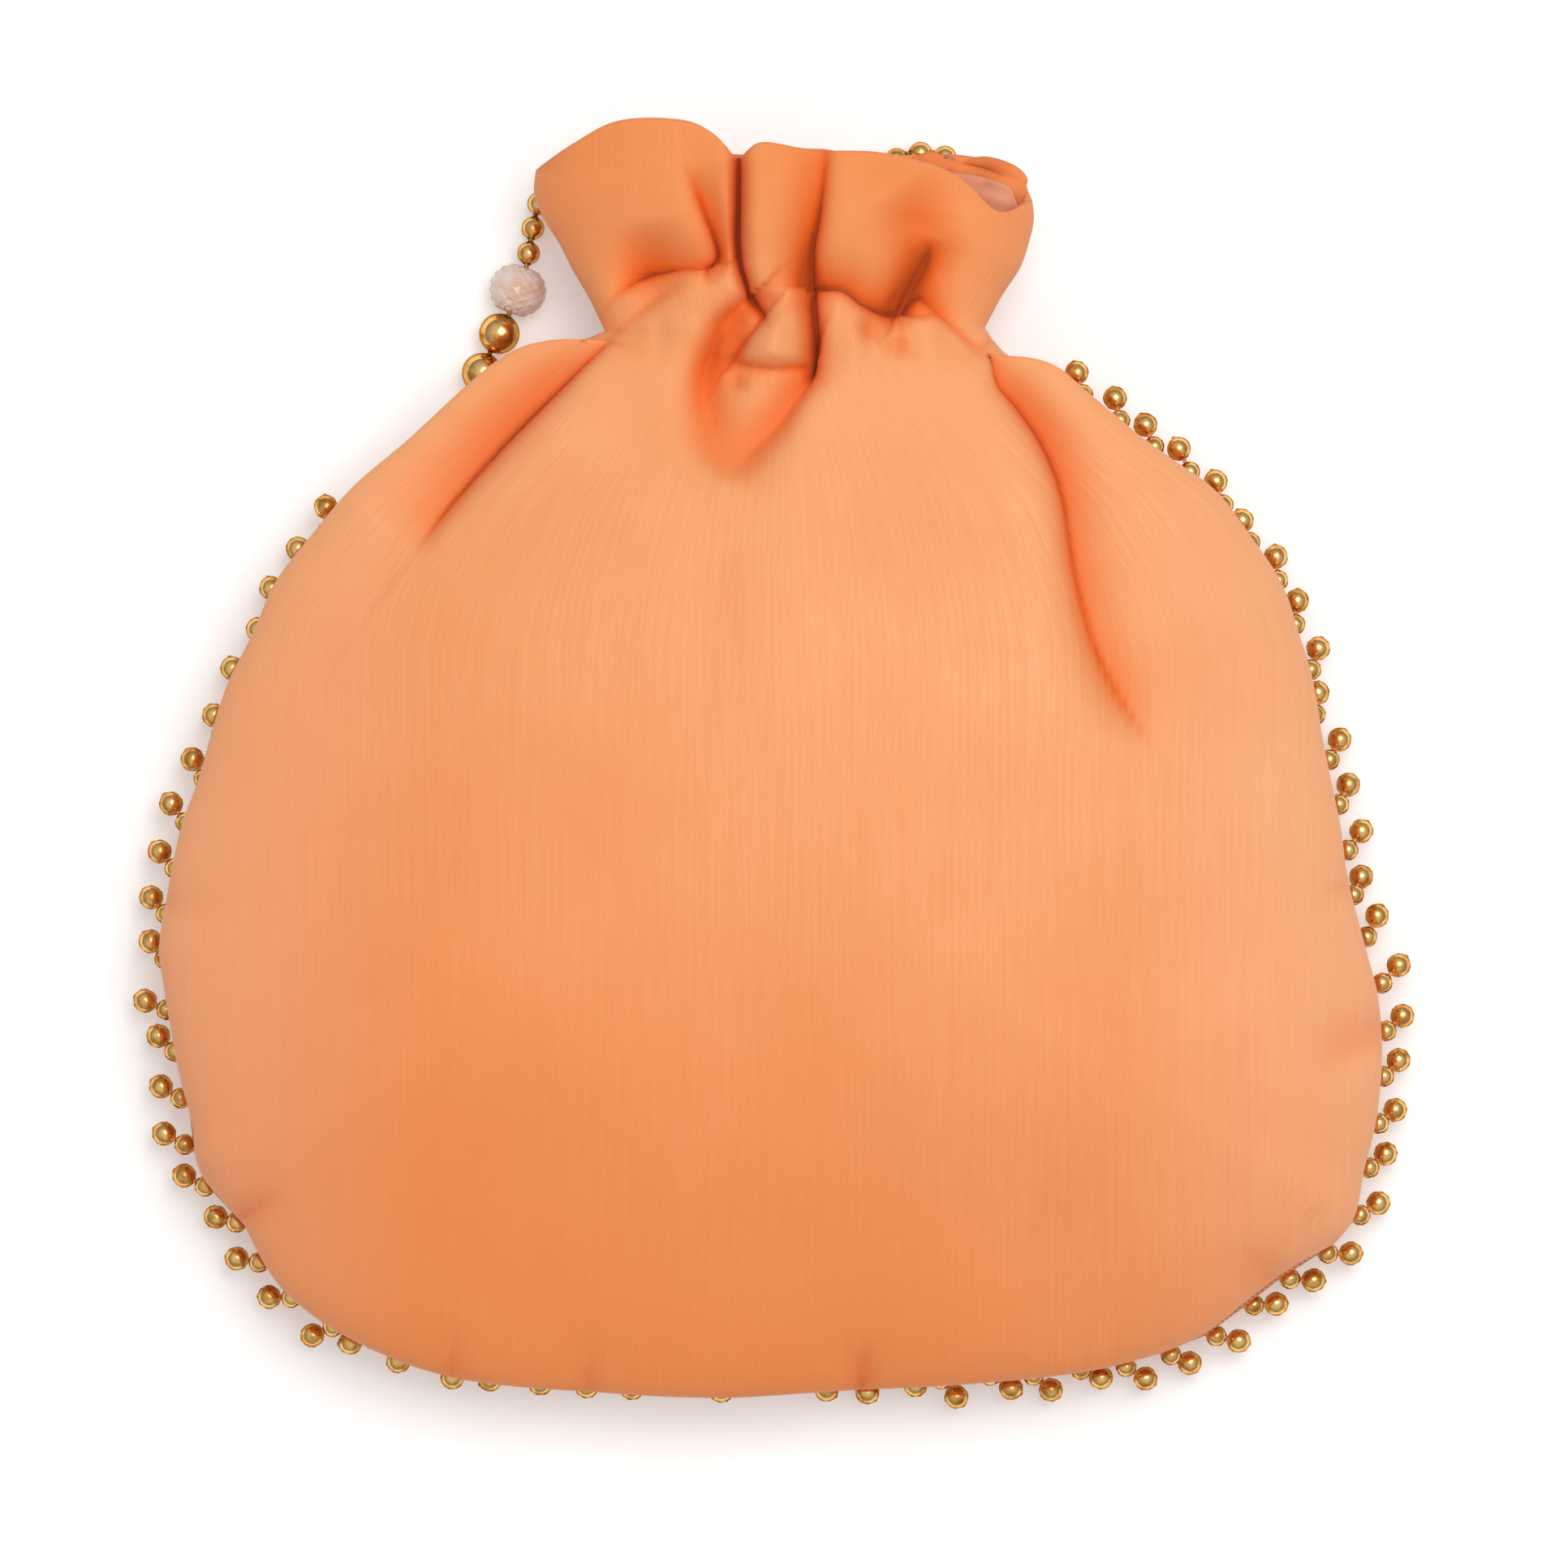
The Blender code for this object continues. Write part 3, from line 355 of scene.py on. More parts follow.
folds = {
    "leftShoulder": (((-17.4, 89.5), (-22.4, 86.1), (-27.6, 82.2), (-32.8, 77.1), (-40.4, 69.5), (-48.9, 61),
                      (-57.4, 51.8), (-62.4, 45.8), (-67.5, 39)),
        ((0, 0.5), (0.12, 2.5), (0.3, 5), (0.45, 9), (0.7, 9), (0.88, 6), (1, 1)), (1.3, 2.6), (3, 15), 1.25,
        {"lap": (-0.8, -1), "shade": 0.75}),
    "rightShoulder": (((39.7, 75.8), (41.1, 70.3), (44.5, 66.2), (48.7, 60.3), (51.6, 54.3), (53.4, 48.4),
                       (54.8, 39.3), (56.6, 30.2), (59.4, 21.1), (63.6, 12.5), (69, 4)),
        ((0, 5), (0.15, 9), (0.45, 8), (0.7, 7), (0.9, 5.5), (1, 1.5)), (6, 6.5), (1.6, 4), 1.25,
        {"lap": (1.2, 0), "shade": 0.7}),
    "pocketLeft": (((-5.5, 86.4), (-8, 84.1), (-10.3, 81.9), (-11.5, 78.1), (-13.3, 73.5), (-13.6, 68.2),
                    (-12.5, 62.1), (-11, 55.3), (-9.8, 51.5)),
        ((0, 5), (0.2, 7), (0.45, 7), (0.7, 4.5), (1, 0)), (5, 5), (1.8, 4.5), 1.5, {"lap": (0.6, 0)}),
    "pocketRight": (((8, 75), (7.2, 72), (4.2, 68.2), (0.4, 62.9), (-4.9, 57.5), (-9.5, 51.9)),
        ((0, 6), (0.2, 6.5), (0.6, 5.5), (0.85, 3.5), (1, 0)), (1.6, 3.6), (4.5, 7), 1.5, {"lap": (-1, 0)}),
    "bandRoll": (((0, 86), (-1.2, 80.3), (-1.2, 77)),
        ((0, -1), (0.4, -4), (1, -4)), (5.5, 6), (4.5, 5.5), 3, {}),
    "bandEdge": (((-2.1, 83.1), (-4.9, 79.6), (-7.5, 75.8)),
        ((0, 5), (0.5, 5), (1, 3.5)), (1.4, 1.4), (3.5, 4.5), 1.3, {"lap": (-0.6, -0.4)}),
    "bandEnd": (((-8.4, 75), (-5, 73.9), (-0.4, 73.4), (4.9, 73.8)),
        ((0, 2), (0.3, 4), (0.7, 4), (1, 3)), (1.4, 1.4), (2.6, 2.6), 1.3, {}),
    "pocketPit": (((-8.3, 71.3), (-7.6, 70.9), (-6.8, 70.7)),
        ((0, 1.5), (0.5, 2.2), (1, 1.5)), (1.4, 1.4), (1.4, 1.4), 1.6, {}),
    "neckRight": (((8, 87.9), (12.2, 87.6), (15.6, 85.2), (19.4, 83.4), (22.6, 83.1)),
        ((0, 6), (0.5, 5.5), (1, 5.5)), (5, 5), (1.4, 1.4), 1.25, {"lap": (1, 1), "shade": 1.4}),
    "rightWedge": (((22.6, 83.1), (23.9, 86.4), (25.9, 90.2), (28, 94.3), (29, 97.8)),
        ((0, 5), (0.3, 6.5), (0.7, 4.5), (1, 0)), (2.2, 5), (1.6, 3), 1.25, {"shade": 1.4}),
    "rightDimple": (((22.4, 106.9), (25.5, 102.4), (28, 96.3)),
        ((0, 1), (0.5, 3.5), (1, 3)), (7, 6.5), (7, 6), 2, {"shade": 1.7}),
    "rollRight": (((23.2, 83.7), (24.7, 85.8), (26.7, 86.4), (29.3, 84.4), (33.1, 81.1), (38.1, 77.3),
                   (39.7, 78.8)),
        ((0, 4), (0.3, 4), (0.8, 4.5), (1, 4)), (4, 5), (1.5, 1.5), 1.25, {"lap": (0.8, 0.8)}),
    "neckLeft": (((-33.1, 83.1), (-31.5, 85.2), (-29.6, 87.6), (-24.7, 90.2), (-18.6, 91.6), (-13.6, 92.3)),
        ((0, 2), (0.25, 4.5), (0.8, 5), (1, 4)), (6, 5), (1.4, 1.4), 1.25, {"lap": (1, 1)}),
    "leftWedge": (((-16.3, 110), (-13.9, 102.8), (-11.8, 97.1), (-11.3, 94.3), (-13, 91.3)),
        ((0, 1.5), (0.25, 4.5), (0.6, 6), (0.9, 6), (1, 4)), (6.5, 1.6), (1.6, 1.4), 1.35,
        {"lap": (0.8, 0.8)}),
    "cleft": (((-7.1, 116), (-7.1, 104.7), (-7.1, 97), (-6.6, 92.5), (-5.5, 89.1), (-4.2, 86.1),
               (-2.1, 83.1)),
        ((0, 7), (0.2, 9), (0.8, 8), (1, 4)), (1.1, 1.2), (1.1, 1.2), 1.4, {"lap": (-0.3, -0.5)}),
    "middleValley": (((9.2, 115.5), (8, 101.6), (6.9, 95.5), (6.8, 89.5), (7.5, 81.9), (8, 74.3),
                      (7.4, 71.8)),
        ((0, 2.5), (0.25, 5.5), (0.55, 8), (0.85, 8), (1, 5)), (1.6, 1.5), (7, 1.4), 1.35,
        {"lap": (-0.7, -0.7), "shade": 1.3}),
    "leftDimple": (((-24.7, 100.9), (-23.9, 95.5), (-23.5, 91)),
        ((0, 0), (0.5, 2.5), (1, 3)), (5, 5), (5, 5), 2, {}),
    "rightDent": (((14.1, 82.6), (17.9, 80), (23.2, 77.6), (29.3, 76.2)),
        ((0, 0), (0.2, 1.8), (0.4, 0.6), (0.6, 2), (0.8, 0.8), (1, 0)), (2, 2), (2.2, 2.2), 1.6,
        {"shade": 2}),
    "bellyValley": (((-9.8, 50), (-9.8, 35), (-9.2, 18), (-8.5, 2)),
        ((0, 0.2), (0.3, 0.7), (0.7, 0.5), (1, 0)), (5, 9), (5, 9), 2, {"shade": 1.5}),
    "rightCrease": (((112.9, -50.8), (106.8, -53.4), (99.2, -56.5)),
        ((0, 2.6), (0.5, 2), (1, 0)), (3, 4), (5, 8), 1.5, {"seam": True}),
    "cornerDent": (((96.1, -99), (90.1, -94.5), (84.7, -90.7)),
        ((0, 2.6), (0.5, 2), (1, 0)), (4, 5), (3, 4), 1.6, {"seam": True}),
    "leftPucker": (((-115.5, -26), (-109, -27), (-103, -28.5)),
        ((0, 1.8), (1, 0)), (2.5, 4), (2.5, 4), 1.5, {"seam": True}),
    "leftCorner": (((-104, -87.5), (-98.5, -84), (-92, -80)),
        ((0, 3.2), (0.5, 2), (1, 0)), (2.5, 5), (2.5, 4), 1.4, {"seam": True}),
    "bottomLeft": (((-61.5, -117), (-60.5, -111), (-60, -105)),
        ((0, 2.4), (1, 0)), (2.5, 4), (2.5, 4), 1.4, {"seam": True}),
    "bottomMiddle": (((-35.5, -119.5), (-35, -113), (-34, -107)),
        ((0, 2.2), (1, 0)), (2.5, 4), (2.5, 4), 1.4, {"seam": True}),
    "bottomNotch": (((15.6, -119.5), (16, -113.5), (17, -108)),
        ((0, 4), (0.5, 2.5), (1, 0)), (2, 4), (2, 4), 1.3, {"seam": True}),
    "rightPucker": (((109.8, -23), (104, -24.5), (99, -26.5)),
        ((0, 1.8), (1, 0)), (2, 4), (2, 4), 1.4, {"seam": True}),
}


def hiddenSeam(outline, hide, count):
    # the seam that the stuffed front hides: the outline moved in
    path = smoothPath(np.array(outline) * mm, count)
    shares = np.linspace(0.0, 1.0, count)
    tangents = np.gradient(path, axis=0)
    normals = np.stack([-tangents[:, 1], tangents[:, 0]], axis=1)
    normals /= np.linalg.norm(normals, axis=1)[:, None]
    normals[np.sum(normals * (np.array(bag["middle"]) * mm - path), axis=1) < 0] *= -1
    return path + normals * (through(hide, shares) * mm)[:, None]


def drawnTo(path, corner):
    share = np.linspace(0.0, 1.0, len(path))
    return path + (corner - path[0]) * (1 - ramp(share, 0.0, bag["cornerRun"]))[:, None]


leftSeam, rightSeam, bottomSeam = (hiddenSeam(bag[side], bag[side + "Hide"], bag["seamPoints"])
                                   for side in ("left", "right", "bottom"))
leftCorner, rightCorner = (leftSeam[0] + bottomSeam[0]) / 2, (rightSeam[0] + bottomSeam[-1]) / 2
leftSeam, rightSeam = drawnTo(leftSeam, leftCorner), drawnTo(rightSeam, rightCorner)
bottomSeam = drawnTo(drawnTo(bottomSeam, leftCorner)[::-1], rightCorner)[::-1]
leftFrill, rightFrill = (smoothPath(np.array(bag[side]) * mm, bag["frillPoints"])
                         for side in ("leftFrill", "rightFrill"))
for frillSide, bodySide in ((leftFrill, leftSeam), (rightFrill, rightSeam)):
    blend = np.linspace(1.0, 0.0, bag["frillPoints"])[:, None]
    frillSide += (bodySide[-1] - frillSide[0]) * blend ** 3
seamLine = np.concatenate([leftFrill[::-1], leftSeam[::-1][1:], bottomSeam[1:], rightSeam[1:],
                           rightFrill[1:]])
seamLengths = pathLengths(seamLine)
rims = {side: smoothPath(np.array(bag[side + "Rim"]) * mm, bag["rimPoints"]) for side in ("front", "back")}
for rim in rims.values():
    rim[0], rim[-1] = leftFrill[-1], rightFrill[-1]


def reader(path):
    shares = np.linspace(0.0, 1.0, len(path))
    return lambda place: np.stack([np.interp(place, shares, axis) for axis in path.T], axis=-1)


def patch(u, v, left, right, bottom, top):
    # a surface in plan, stretched between four sides
    u1, v1 = u[..., None], v[..., None]
    corners = ((1 - u1) * (1 - v1) * left[0] + u1 * (1 - v1) * right[0]
               + (1 - u1) * v1 * left[-1] + u1 * v1 * right[-1])
    return ((1 - u1) * reader(left)(v) + u1 * reader(right)(v)
            + (1 - v1) * reader(bottom)(u) + v1 * reader(top)(u) - corners)


def plan(u, v, side):
    # v runs from the bottom, 0, past the drawstring, 1, to the frill's rim, 2
    neck = np.array([leftSeam[-1], rightSeam[-1]])
    body = patch(u, np.minimum(v, 1), leftSeam, rightSeam, bottomSeam, neck)
    frill = patch(u, np.maximum(v - 1, 0), leftFrill, rightFrill, neck, rims[side])
    return np.where((v < 1)[..., None], body, frill)


def seamOffset(points):
    # distance to the seam, direction out to it, and how far along it the nearest place is
    rows = points.reshape(-1, 2)
    starts, steps = seamLine[:-1], np.diff(seamLine, axis=0)
    square = np.sum(steps * steps, axis=1)
    nearest, place = np.empty_like(rows), np.empty(len(rows))
    for first in range(0, len(rows), 2000):
        part = rows[first:first + 2000]
        gaps = part[:, None, :] - starts
        share = np.clip(np.sum(gaps * steps, axis=2) / square, 0, 1)
        feet = starts + share[..., None] * steps
        best = np.argmin(np.sum((feet - part[:, None, :]) ** 2, axis=2), axis=1)
        pick = np.arange(len(part))
        nearest[first:first + 2000] = feet[pick, best]
        place[first:first + 2000] = seamLengths[best] + share[pick, best] * np.sqrt(square[best])
    outward = (nearest - rows).reshape(points.shape)
    distance = np.linalg.norm(outward, axis=-1)
    return distance, outward / np.maximum(distance, 1e-9)[..., None], place.reshape(distance.shape)


def rounding(share):
    return np.sqrt(1.0 - (1.0 - np.clip(share, 0.0, 1.0)) ** 2)


def rowWidth(v):
    body = np.linalg.norm(reader(rightSeam)(np.minimum(v, 1)) - reader(leftSeam)(np.minimum(v, 1)), axis=-1)
    frill = reader(rightFrill)(np.maximum(v - 1, 0)) - reader(leftFrill)(np.maximum(v - 1, 0))
    return np.where(v < 1, body, frill[..., 0])


def seamHeight(v):
    return (bag["seam"] + (bag["neckSeam"] - bag["seam"]) * ramp(v, 0.6, 1.0)) * mm


def hideAt(u, v):
    up = np.minimum(v, 1)
    side = np.where(u < 0.5, through(bag["leftHide"], up), through(bag["rightHide"], up))
    below = ramp(np.minimum(u, 1 - u) - v, -0.1, 0.1)
    return (side + (through(bag["bottomHide"], u) - side) * below) * mm


def bulgeTable():
    # pushes against how far out of the seam they take the cloth
    inward = np.linspace(0, 4, 200)
    pushes = np.linspace(0, 5, 60)
    reaches = [-np.min(inward - push * inward * np.exp(1 - inward)) for push in pushes]
    return np.array(reaches), pushes


bulgeReaches, bulgePushes = bulgeTable()


def fieldNoise(points, z, size, seed):
    # smooth noise of the given grain over a grid of points
    rows = np.column_stack([points.reshape(-1, 2), z.reshape(-1)]) / size
    values = [noise.noise(Vector((row[0] + seed, row[1] - seed, row[2]))) for row in rows]
    return np.array(values).reshape(z.shape)


def foldInto(points, z, distance, folds):
    # each fold lowers the cloth by its profile and laps one bank over it; it also gives painted shade, deeper
    # with its depth, and a painted shadow line along a sharp bottom
    depth, shade, line = np.zeros_like(z), np.zeros_like(z), np.zeros_like(z)
    shift = np.zeros_like(points)
    for route, depths, left, right, crisp, extra in folds.values():
        path = smoothPath(np.array(route) * mm, pressing["points"])
        low, high = path.min(axis=0) - pressing["reach"] * mm, path.max(axis=0) + pressing["reach"] * mm
        near = np.all((points > low) & (points < high), axis=-1)
        here = points[near]
        offsets = here[:, None, :] - path
        gaps = np.linalg.norm(offsets, axis=-1)
        index = np.argmin(gaps, axis=1)
        pick = np.arange(len(here))
        gap, offset = gaps[pick, index], offsets[pick, index]
        tangent = np.gradient(path, axis=0)[index]
        toRight = tangent[:, 1] * offset[:, 0] - tangent[:, 0] * offset[:, 1] > 0
        share = index / (len(path) - 1)
        left, right, lap = (start + (end - start) * share
                            for start, end in (left, right, extra.get("lap", (0, 0))))
        bank, lap = np.where(toRight, right, left) * mm, lap * mm
        deep = through(depths, share) * mm
        strength = np.minimum(np.abs(deep) / (pressing["full"] * mm), 1)
        start, end = pressing["seamFade" if "seam" in extra else "fade"]
        deep = deep * ramp(distance[near], start * mm, end * mm)
        sunk = deep * np.exp(-(gap / bank) ** crisp)
        depth[near] += sunk
        shade[near] += sunk * extra.get("shade", 1)
        # a painted shadow line along the bottom of a sharp crease
        if crisp < pressing["sharp"]:
            dark = strength * np.exp(-(gap / (pressing["line"] * mm)) ** 2)
            line[near] = np.maximum(line[near], dark)
        if "lap" in extra:
            leaning = np.where(lap > 0, toRight, ~toRight)
            amount = np.abs(lap) * strength * leaning * np.exp(-((gap - bank) / (0.9 * bank)) ** 2)
            start, end = pressing["lapFade"]
            amount *= ramp(distance[near], start * mm, end * mm)
            shift[near] -= offset / np.maximum(gap, 1e-9)[:, None] * amount[:, None]
    most = pressing["deepest"] * mm
    depth = np.where(depth > 0, most * np.tanh(depth / most), depth)
    # painted shade for the cloth's colour, from how far it is sunk and from the painted shadow lines
    paintedCreaseShade = 0.6 * np.clip(shade / (pressing["shaded"] * mm), 0, 1.4) + 0.4 * line
    return points + shift, z - depth, paintedCreaseShade


def frontShape(u, v):
    points = plan(u, v, "front")
    distance, outward, place = seamOffset(points)
    inward = distance / (bag["bulge"] * mm)
    reach = np.interp(hideAt(u, v) / (bag["bulge"] * mm), bulgeReaches, bulgePushes)
    push = reach * bag["bulge"] * mm * inward * np.exp(1.0 - inward) * ramp(v, 1.0, 0.9)
    crown = (bag["bellyTop"] + (bag["neckTop"] - bag["bellyTop"]) * ramp(v, 0.55, 1.0)
             + (bag["frillTop"] - bag["neckTop"]) * ramp(v, 1.05, 1.8)) * mm
    level = np.minimum(bag["frontRounding"] * mm, 0.5 * rowWidth(v))
    seam = seamHeight(v)
    z = seam + bag["seamGap"] * mm + (crown - seam) * rounding(distance / level)
    points = points + outward * push[..., None]
    # the cloth's own slow waves, small gathers at the drawstring, and ripples along the sewn seam
    deep, size = np.array(bag["wave"]) * mm
    z = z + fieldNoise(points, z, size, 11.0) * deep * ramp(distance, 0.0, 0.02)
    deep, size = np.array(bag["gather"]) * mm
    atDrawstring = np.exp(-((v - 1.0) / 0.07) ** 2)
    z = z + atDrawstring * fieldNoise(points * np.array([1.0, 0.12]), z * 0, size, 4.0) * deep
    deep, pitch, run = np.array(bag["ripple"]) * mm
    ripple = 0.5 + 0.5 * np.cos(2 * math.pi * place / pitch)
    z = z - deep * ripple * np.exp(-distance / run) * ramp(distance, 0, 0.002) * (v < 1)
    return foldInto(points, z, distance, folds)


def backShape(u, v):
    points = plan(u, v, "back")
    distance, _, _ = seamOffset(points)
    low = bag["neckUnder"] * ramp(v, 0.68, 1.0) * mm
    low = low + (bag["frillUnder"] - bag["neckUnder"]) * ramp(v, 1.05, 1.8) * mm
    level = np.minimum(bag["backRounding"] * mm, 0.5 * rowWidth(v))
    seam = seamHeight(v) - bag["seamGap"] * mm
    z = seam - (seam - low) * rounding(distance / level)
    deep, count = bag["backGathers"]
    gathers = 0.5 - 0.5 * np.cos(2 * math.pi * count * u)
    gathers = gathers * ramp(v, 0.70, 1.0) * ramp(distance, 0.002, 0.009)
    points, z, paintedCreaseShade = foldInto(points, z + deep * mm * gathers, distance, backFolds)
    # the gathers under the neck take a little painted shade too
    return points, z, paintedCreaseShade + gathers * 0.1


def shares(count, middleWeight):
    even = np.linspace(0.0, 1.0, count + 1)
    return middleWeight * even + (1 - middleWeight) * (1 - np.cos(math.pi * even)) / 2


def panelShares(cells, top=1.0):
    across, belly, shoulder, frill = cells
    up = np.concatenate([0.6 * shares(2 * belly, 0.5)[:belly + 1] / 0.5,
                         0.6 + np.linspace(0, 0.4, shoulder + 1)[1:], 1 + np.linspace(0, top, frill + 1)[1:]])
    return np.meshgrid(shares(across, 0.6), up, indexing="ij")


def flatCloth(points):
    # where each point was in the flat cloth: its yarns run straight up the belly and crowd at the neck
    high = points[..., 1]
    left, right = (np.interp(high, side[:, 1], side[:, 0]) for side in
                   (np.concatenate([leftSeam, leftFrill]), np.concatenate([rightSeam, rightFrill])))
    crowded = np.minimum((right - left) / (bag["crowding"] * mm), 1.0)
    middle = (left + right) / 2 * (1 - crowded)
    return np.stack([(points[..., 0] - middle) / crowded, high], axis=-1)


def clothPiece(name, cells, shape, side, wall, top=1.0, hem=0.0):
    # a grid laid over a computed surface, faces outwards, walled inwards; UVs are the flat cloth in metres
    u, v = panelShares(cells, top)
    points, z, depth = shape(u, v)
    columns, rows = u.shape
    deselect()
    bpy.ops.mesh.primitive_grid_add(x_subdivisions=columns - 1, y_subdivisions=rows - 1, size=1)
    piece = bpy.context.object
    piece.name = piece.data.name = name
    mesh = piece.data
    places = np.empty(len(mesh.vertices) * 3)
    mesh.vertices.foreach_get("co", places)
    places = places.reshape(-1, 3)
    column = np.rint((places[:, 0] + 0.5) * (columns - 1)).astype(int)
    row = np.rint((places[:, 1] + 0.5) * (rows - 1)).astype(int)
    placed = np.column_stack([points[column, row], z[column, row]])
    mesh.vertices.foreach_set("co", placed.reshape(-1))
    flat = flatCloth(points)[column, row]
    corners = np.empty(len(mesh.loops), dtype=int)
    mesh.loops.foreach_get("vertex_index", corners)
    mesh.uv_layers[0].name = "cloth"
    mesh.uv_layers[0].data.foreach_set("uv", flat[corners].reshape(-1))
    # the painted crease shade, kept on each point for the material
    paintedCreaseShade = mesh.attributes.new("paintedCreaseShade", "FLOAT", "POINT")
    paintedCreaseShade.data.foreach_set("value", depth[column, row])
    mesh.update()
    activate(piece)
    if side < 0:
        mode("EDIT")
        bpy.ops.mesh.select_all(action="SELECT")
        bpy.ops.mesh.flip_normals()
        mode("OBJECT")
    bpy.ops.object.shade_smooth()
    thick = piece.vertex_groups.new(name="hem")
    weights = (wall + hem * ramp(v, *bag["hemStart"])) / (wall + hem)
    for index, (c, r) in enumerate(zip(column, row)):
        thick.add([index], float(weights[c, r]), "REPLACE")
    shell = piece.modifiers.new("wall", "SOLIDIFY")
    shell.thickness = (wall + hem) * mm
    shell.offset = -1.0
    shell.vertex_group = "hem"
    applyAll(piece)
    return piece


frontPanel = clothPiece("frontPanel", bag["frontCells"], frontShape, 1, bag["wall"], hem=bag["hem"])
print("front panel:", len(frontPanel.data.polygons), "faces")
backPanel = clothPiece("backPanel", bag["backCells"], backShape, -1, bag["wall"], hem=bag["hem"])
print("back panel:", len(backPanel.data.polygons), "faces")


# drawstring: two plies twisted round the casing's ring
drawstring = {
    "left": -29.4 * mm, "right": 36.4 * mm, "y": 79.96 * mm, "middle": 22.05 * mm, "half": 7.75 * mm,
    "width": 2.0 * mm, "lay": 6 * mm,       # a ply turns once in this length
    "room": 1.3 * mm, "beside": 1.1 * mm,   # from its middle to the cloth above, there and beside it
    "points": 400, "smoothing": 9,
}

# linings, in millimetres; pairs are front, back
lining = {
    "cells": (110, 24, 30, 40), "wall": 0.5,
    "margin": 2.4, "casingMargin": 5.1,     # from the seam in, and as much more at the drawstring
    "belly": (47.3, 2.1), "wayIn": (27.9, 16.2), "frill": 13.5,     # heights
    "closing": (0.5, 0.65),                 # how far up the belly they begin to close to the way in
    "levels": (98, 51),                     # from the seam in to where they level out
    "room": (0.5, 0.6),                     # from the panels' folds
    "casingRoom": 2.8, "casingRun": 4,      # as much more over the drawstring, and how wide
    "top": (0.8, 0.9),                      # share of the frill's height that they reach
}


def underFront(x, y, z, room):
    # the height itself, or as much lower as leaves this room under the front panel's folds
    hit, place, _, _ = frontPanel.ray_cast((x, y, 0.002), (0, 0, 1))
    return min(z, place.z - room) if hit else z


def overBack(x, y, z, room):
    hit, place, _, _ = backPanel.ray_cast((x, y, 0.040), (0, 0, -1))
    return max(z, place.z + room) if hit else z


def liningShape(side):
    # a plain inner skin, clear of the cloth and its folds, round the way in at the neck
    name, pick = ("front", 0) if side > 0 else ("back", 1)
    wayIn, belly, reach = (lining[key][pick] * mm for key in ("wayIn", "belly", "levels"))

    def shape(u, v):
        points, middle = plan(u, v, name), plan(np.full_like(u, 0.5), v, name)
        margin = (lining["margin"] + lining["casingMargin"] * ramp(v, 0.8, 0.97) * ramp(v, 1.35, 1.1)) * mm
        distance, _, _ = seamOffset(points)
        half = 0.5 * rowWidth(v)
        drawn = points + (middle - points) * (margin / half)[..., None]
        drawn[..., 1] += margin * ramp(v, 0.5, 0.0)
        seam = seamHeight(v) + side * bag["seamGap"] * mm
        level = belly + (wayIn - belly) * ramp(v, lining["closing"][pick], 0.97)
        if side < 0:
            level = level * (1 - ramp(v, 1.2, 1.7)) + lining["frill"] * mm * ramp(v, 1.2, 1.7)
        z = seam + (level - seam) * rounding(distance / np.minimum(reach, half))
        # clear of both panels' folds, with room for the drawstring in its casing
        room = np.full_like(z, lining["room"][pick] * mm)
        if side > 0:
            beside = (drawn[..., 1] - drawstring["y"]) / (lining["casingRun"] * mm)
            room += lining["casingRoom"] * mm * np.exp(-beside ** 2)
        places = zip(drawn[..., 0].flat, drawn[..., 1].flat, z.flat, room.flat)
        clear = underFront if side > 0 else overBack
        z = np.array([clear(*place) for place in places]).reshape(z.shape)
        if side > 0:
            return drawn, z, np.zeros_like(z)
        # the back lining takes the painted shade of the back's folds, not their depth
        drawn, _, paintedCreaseShade = foldInto(drawn, z, distance, backFolds)
        return drawn, z, paintedCreaseShade
    return shape


frontLining, backLining = (clothPiece(name, lining["cells"], liningShape(side), side, lining["wall"], top=top)
                           for name, side, top in zip(("frontLining", "backLining"), (1, -1), lining["top"]))
print("linings laid in")


# bead edging: pairs of beads sewn along the seam
edging = {
    "thread": 1.1 * mm, "pitch": 8.5 * mm, "inner": 4.0 * mm, "outer": 4.6 * mm,
    "reach": 2.8 * mm, "step": 4.9 * mm,    # from the thread to the inner bead, and on to the outer
    "tucked": 4, "tuckedLean": 84,          # first pairs on the left, which lie along the seam out of sight
    "upperRight": 0, "upperLean": 67,       # pairs on the right, up from this y, lie closer to the cloth
    "lean": 52, "droop": 30,                # degrees towards the mouth, and down
    "leanSpread": 9, "droopSpread": 5,      # how much they vary
    "start": 24 * mm, "finish": 16 * mm,    # bare seam below the neck on the left and right
    "gap": 0.6 * mm, "below": 0.3 * mm,     # from the seam out to the thread, and down
    "stitch": 0.38 * mm, "end": 0.56,       # radius of a pair's thread, and its end in the outer bead
    "seed": 7,
}


def edgeLine():
    seam = np.concatenate([leftSeam[::-1], bottomSeam[1:], rightSeam[1:]])
    v = np.concatenate([np.linspace(1, 0, len(leftSeam)), np.zeros(len(bottomSeam) - 1),
                        np.linspace(0, 1, len(rightSeam))[1:]])
    path = np.column_stack([seam, seamHeight(v)])
    total = pathLengths(path)[-1]
    count = round((total - edging["start"] - edging["finish"]) / edging["pitch"])
    path = along(path, np.linspace(edging["start"], total - edging["finish"], count + 1))
    tangent = np.gradient(path, axis=0)
    outward = np.column_stack([tangent[:, 1], -tangent[:, 0], np.zeros(len(path))])
    outward /= -np.linalg.norm(outward, axis=1)[:, None]
    tangent /= np.linalg.norm(tangent, axis=1)[:, None]
    middle = np.array([*bag["middle"], 0]) * mm
    outward[np.sum(outward * (path - middle), axis=1) < 0] *= -1
    path = path + outward * (edging["gap"] + edging["thread"] / 2) - np.array([0, 0, edging["below"]])
    return path, outward, tangent


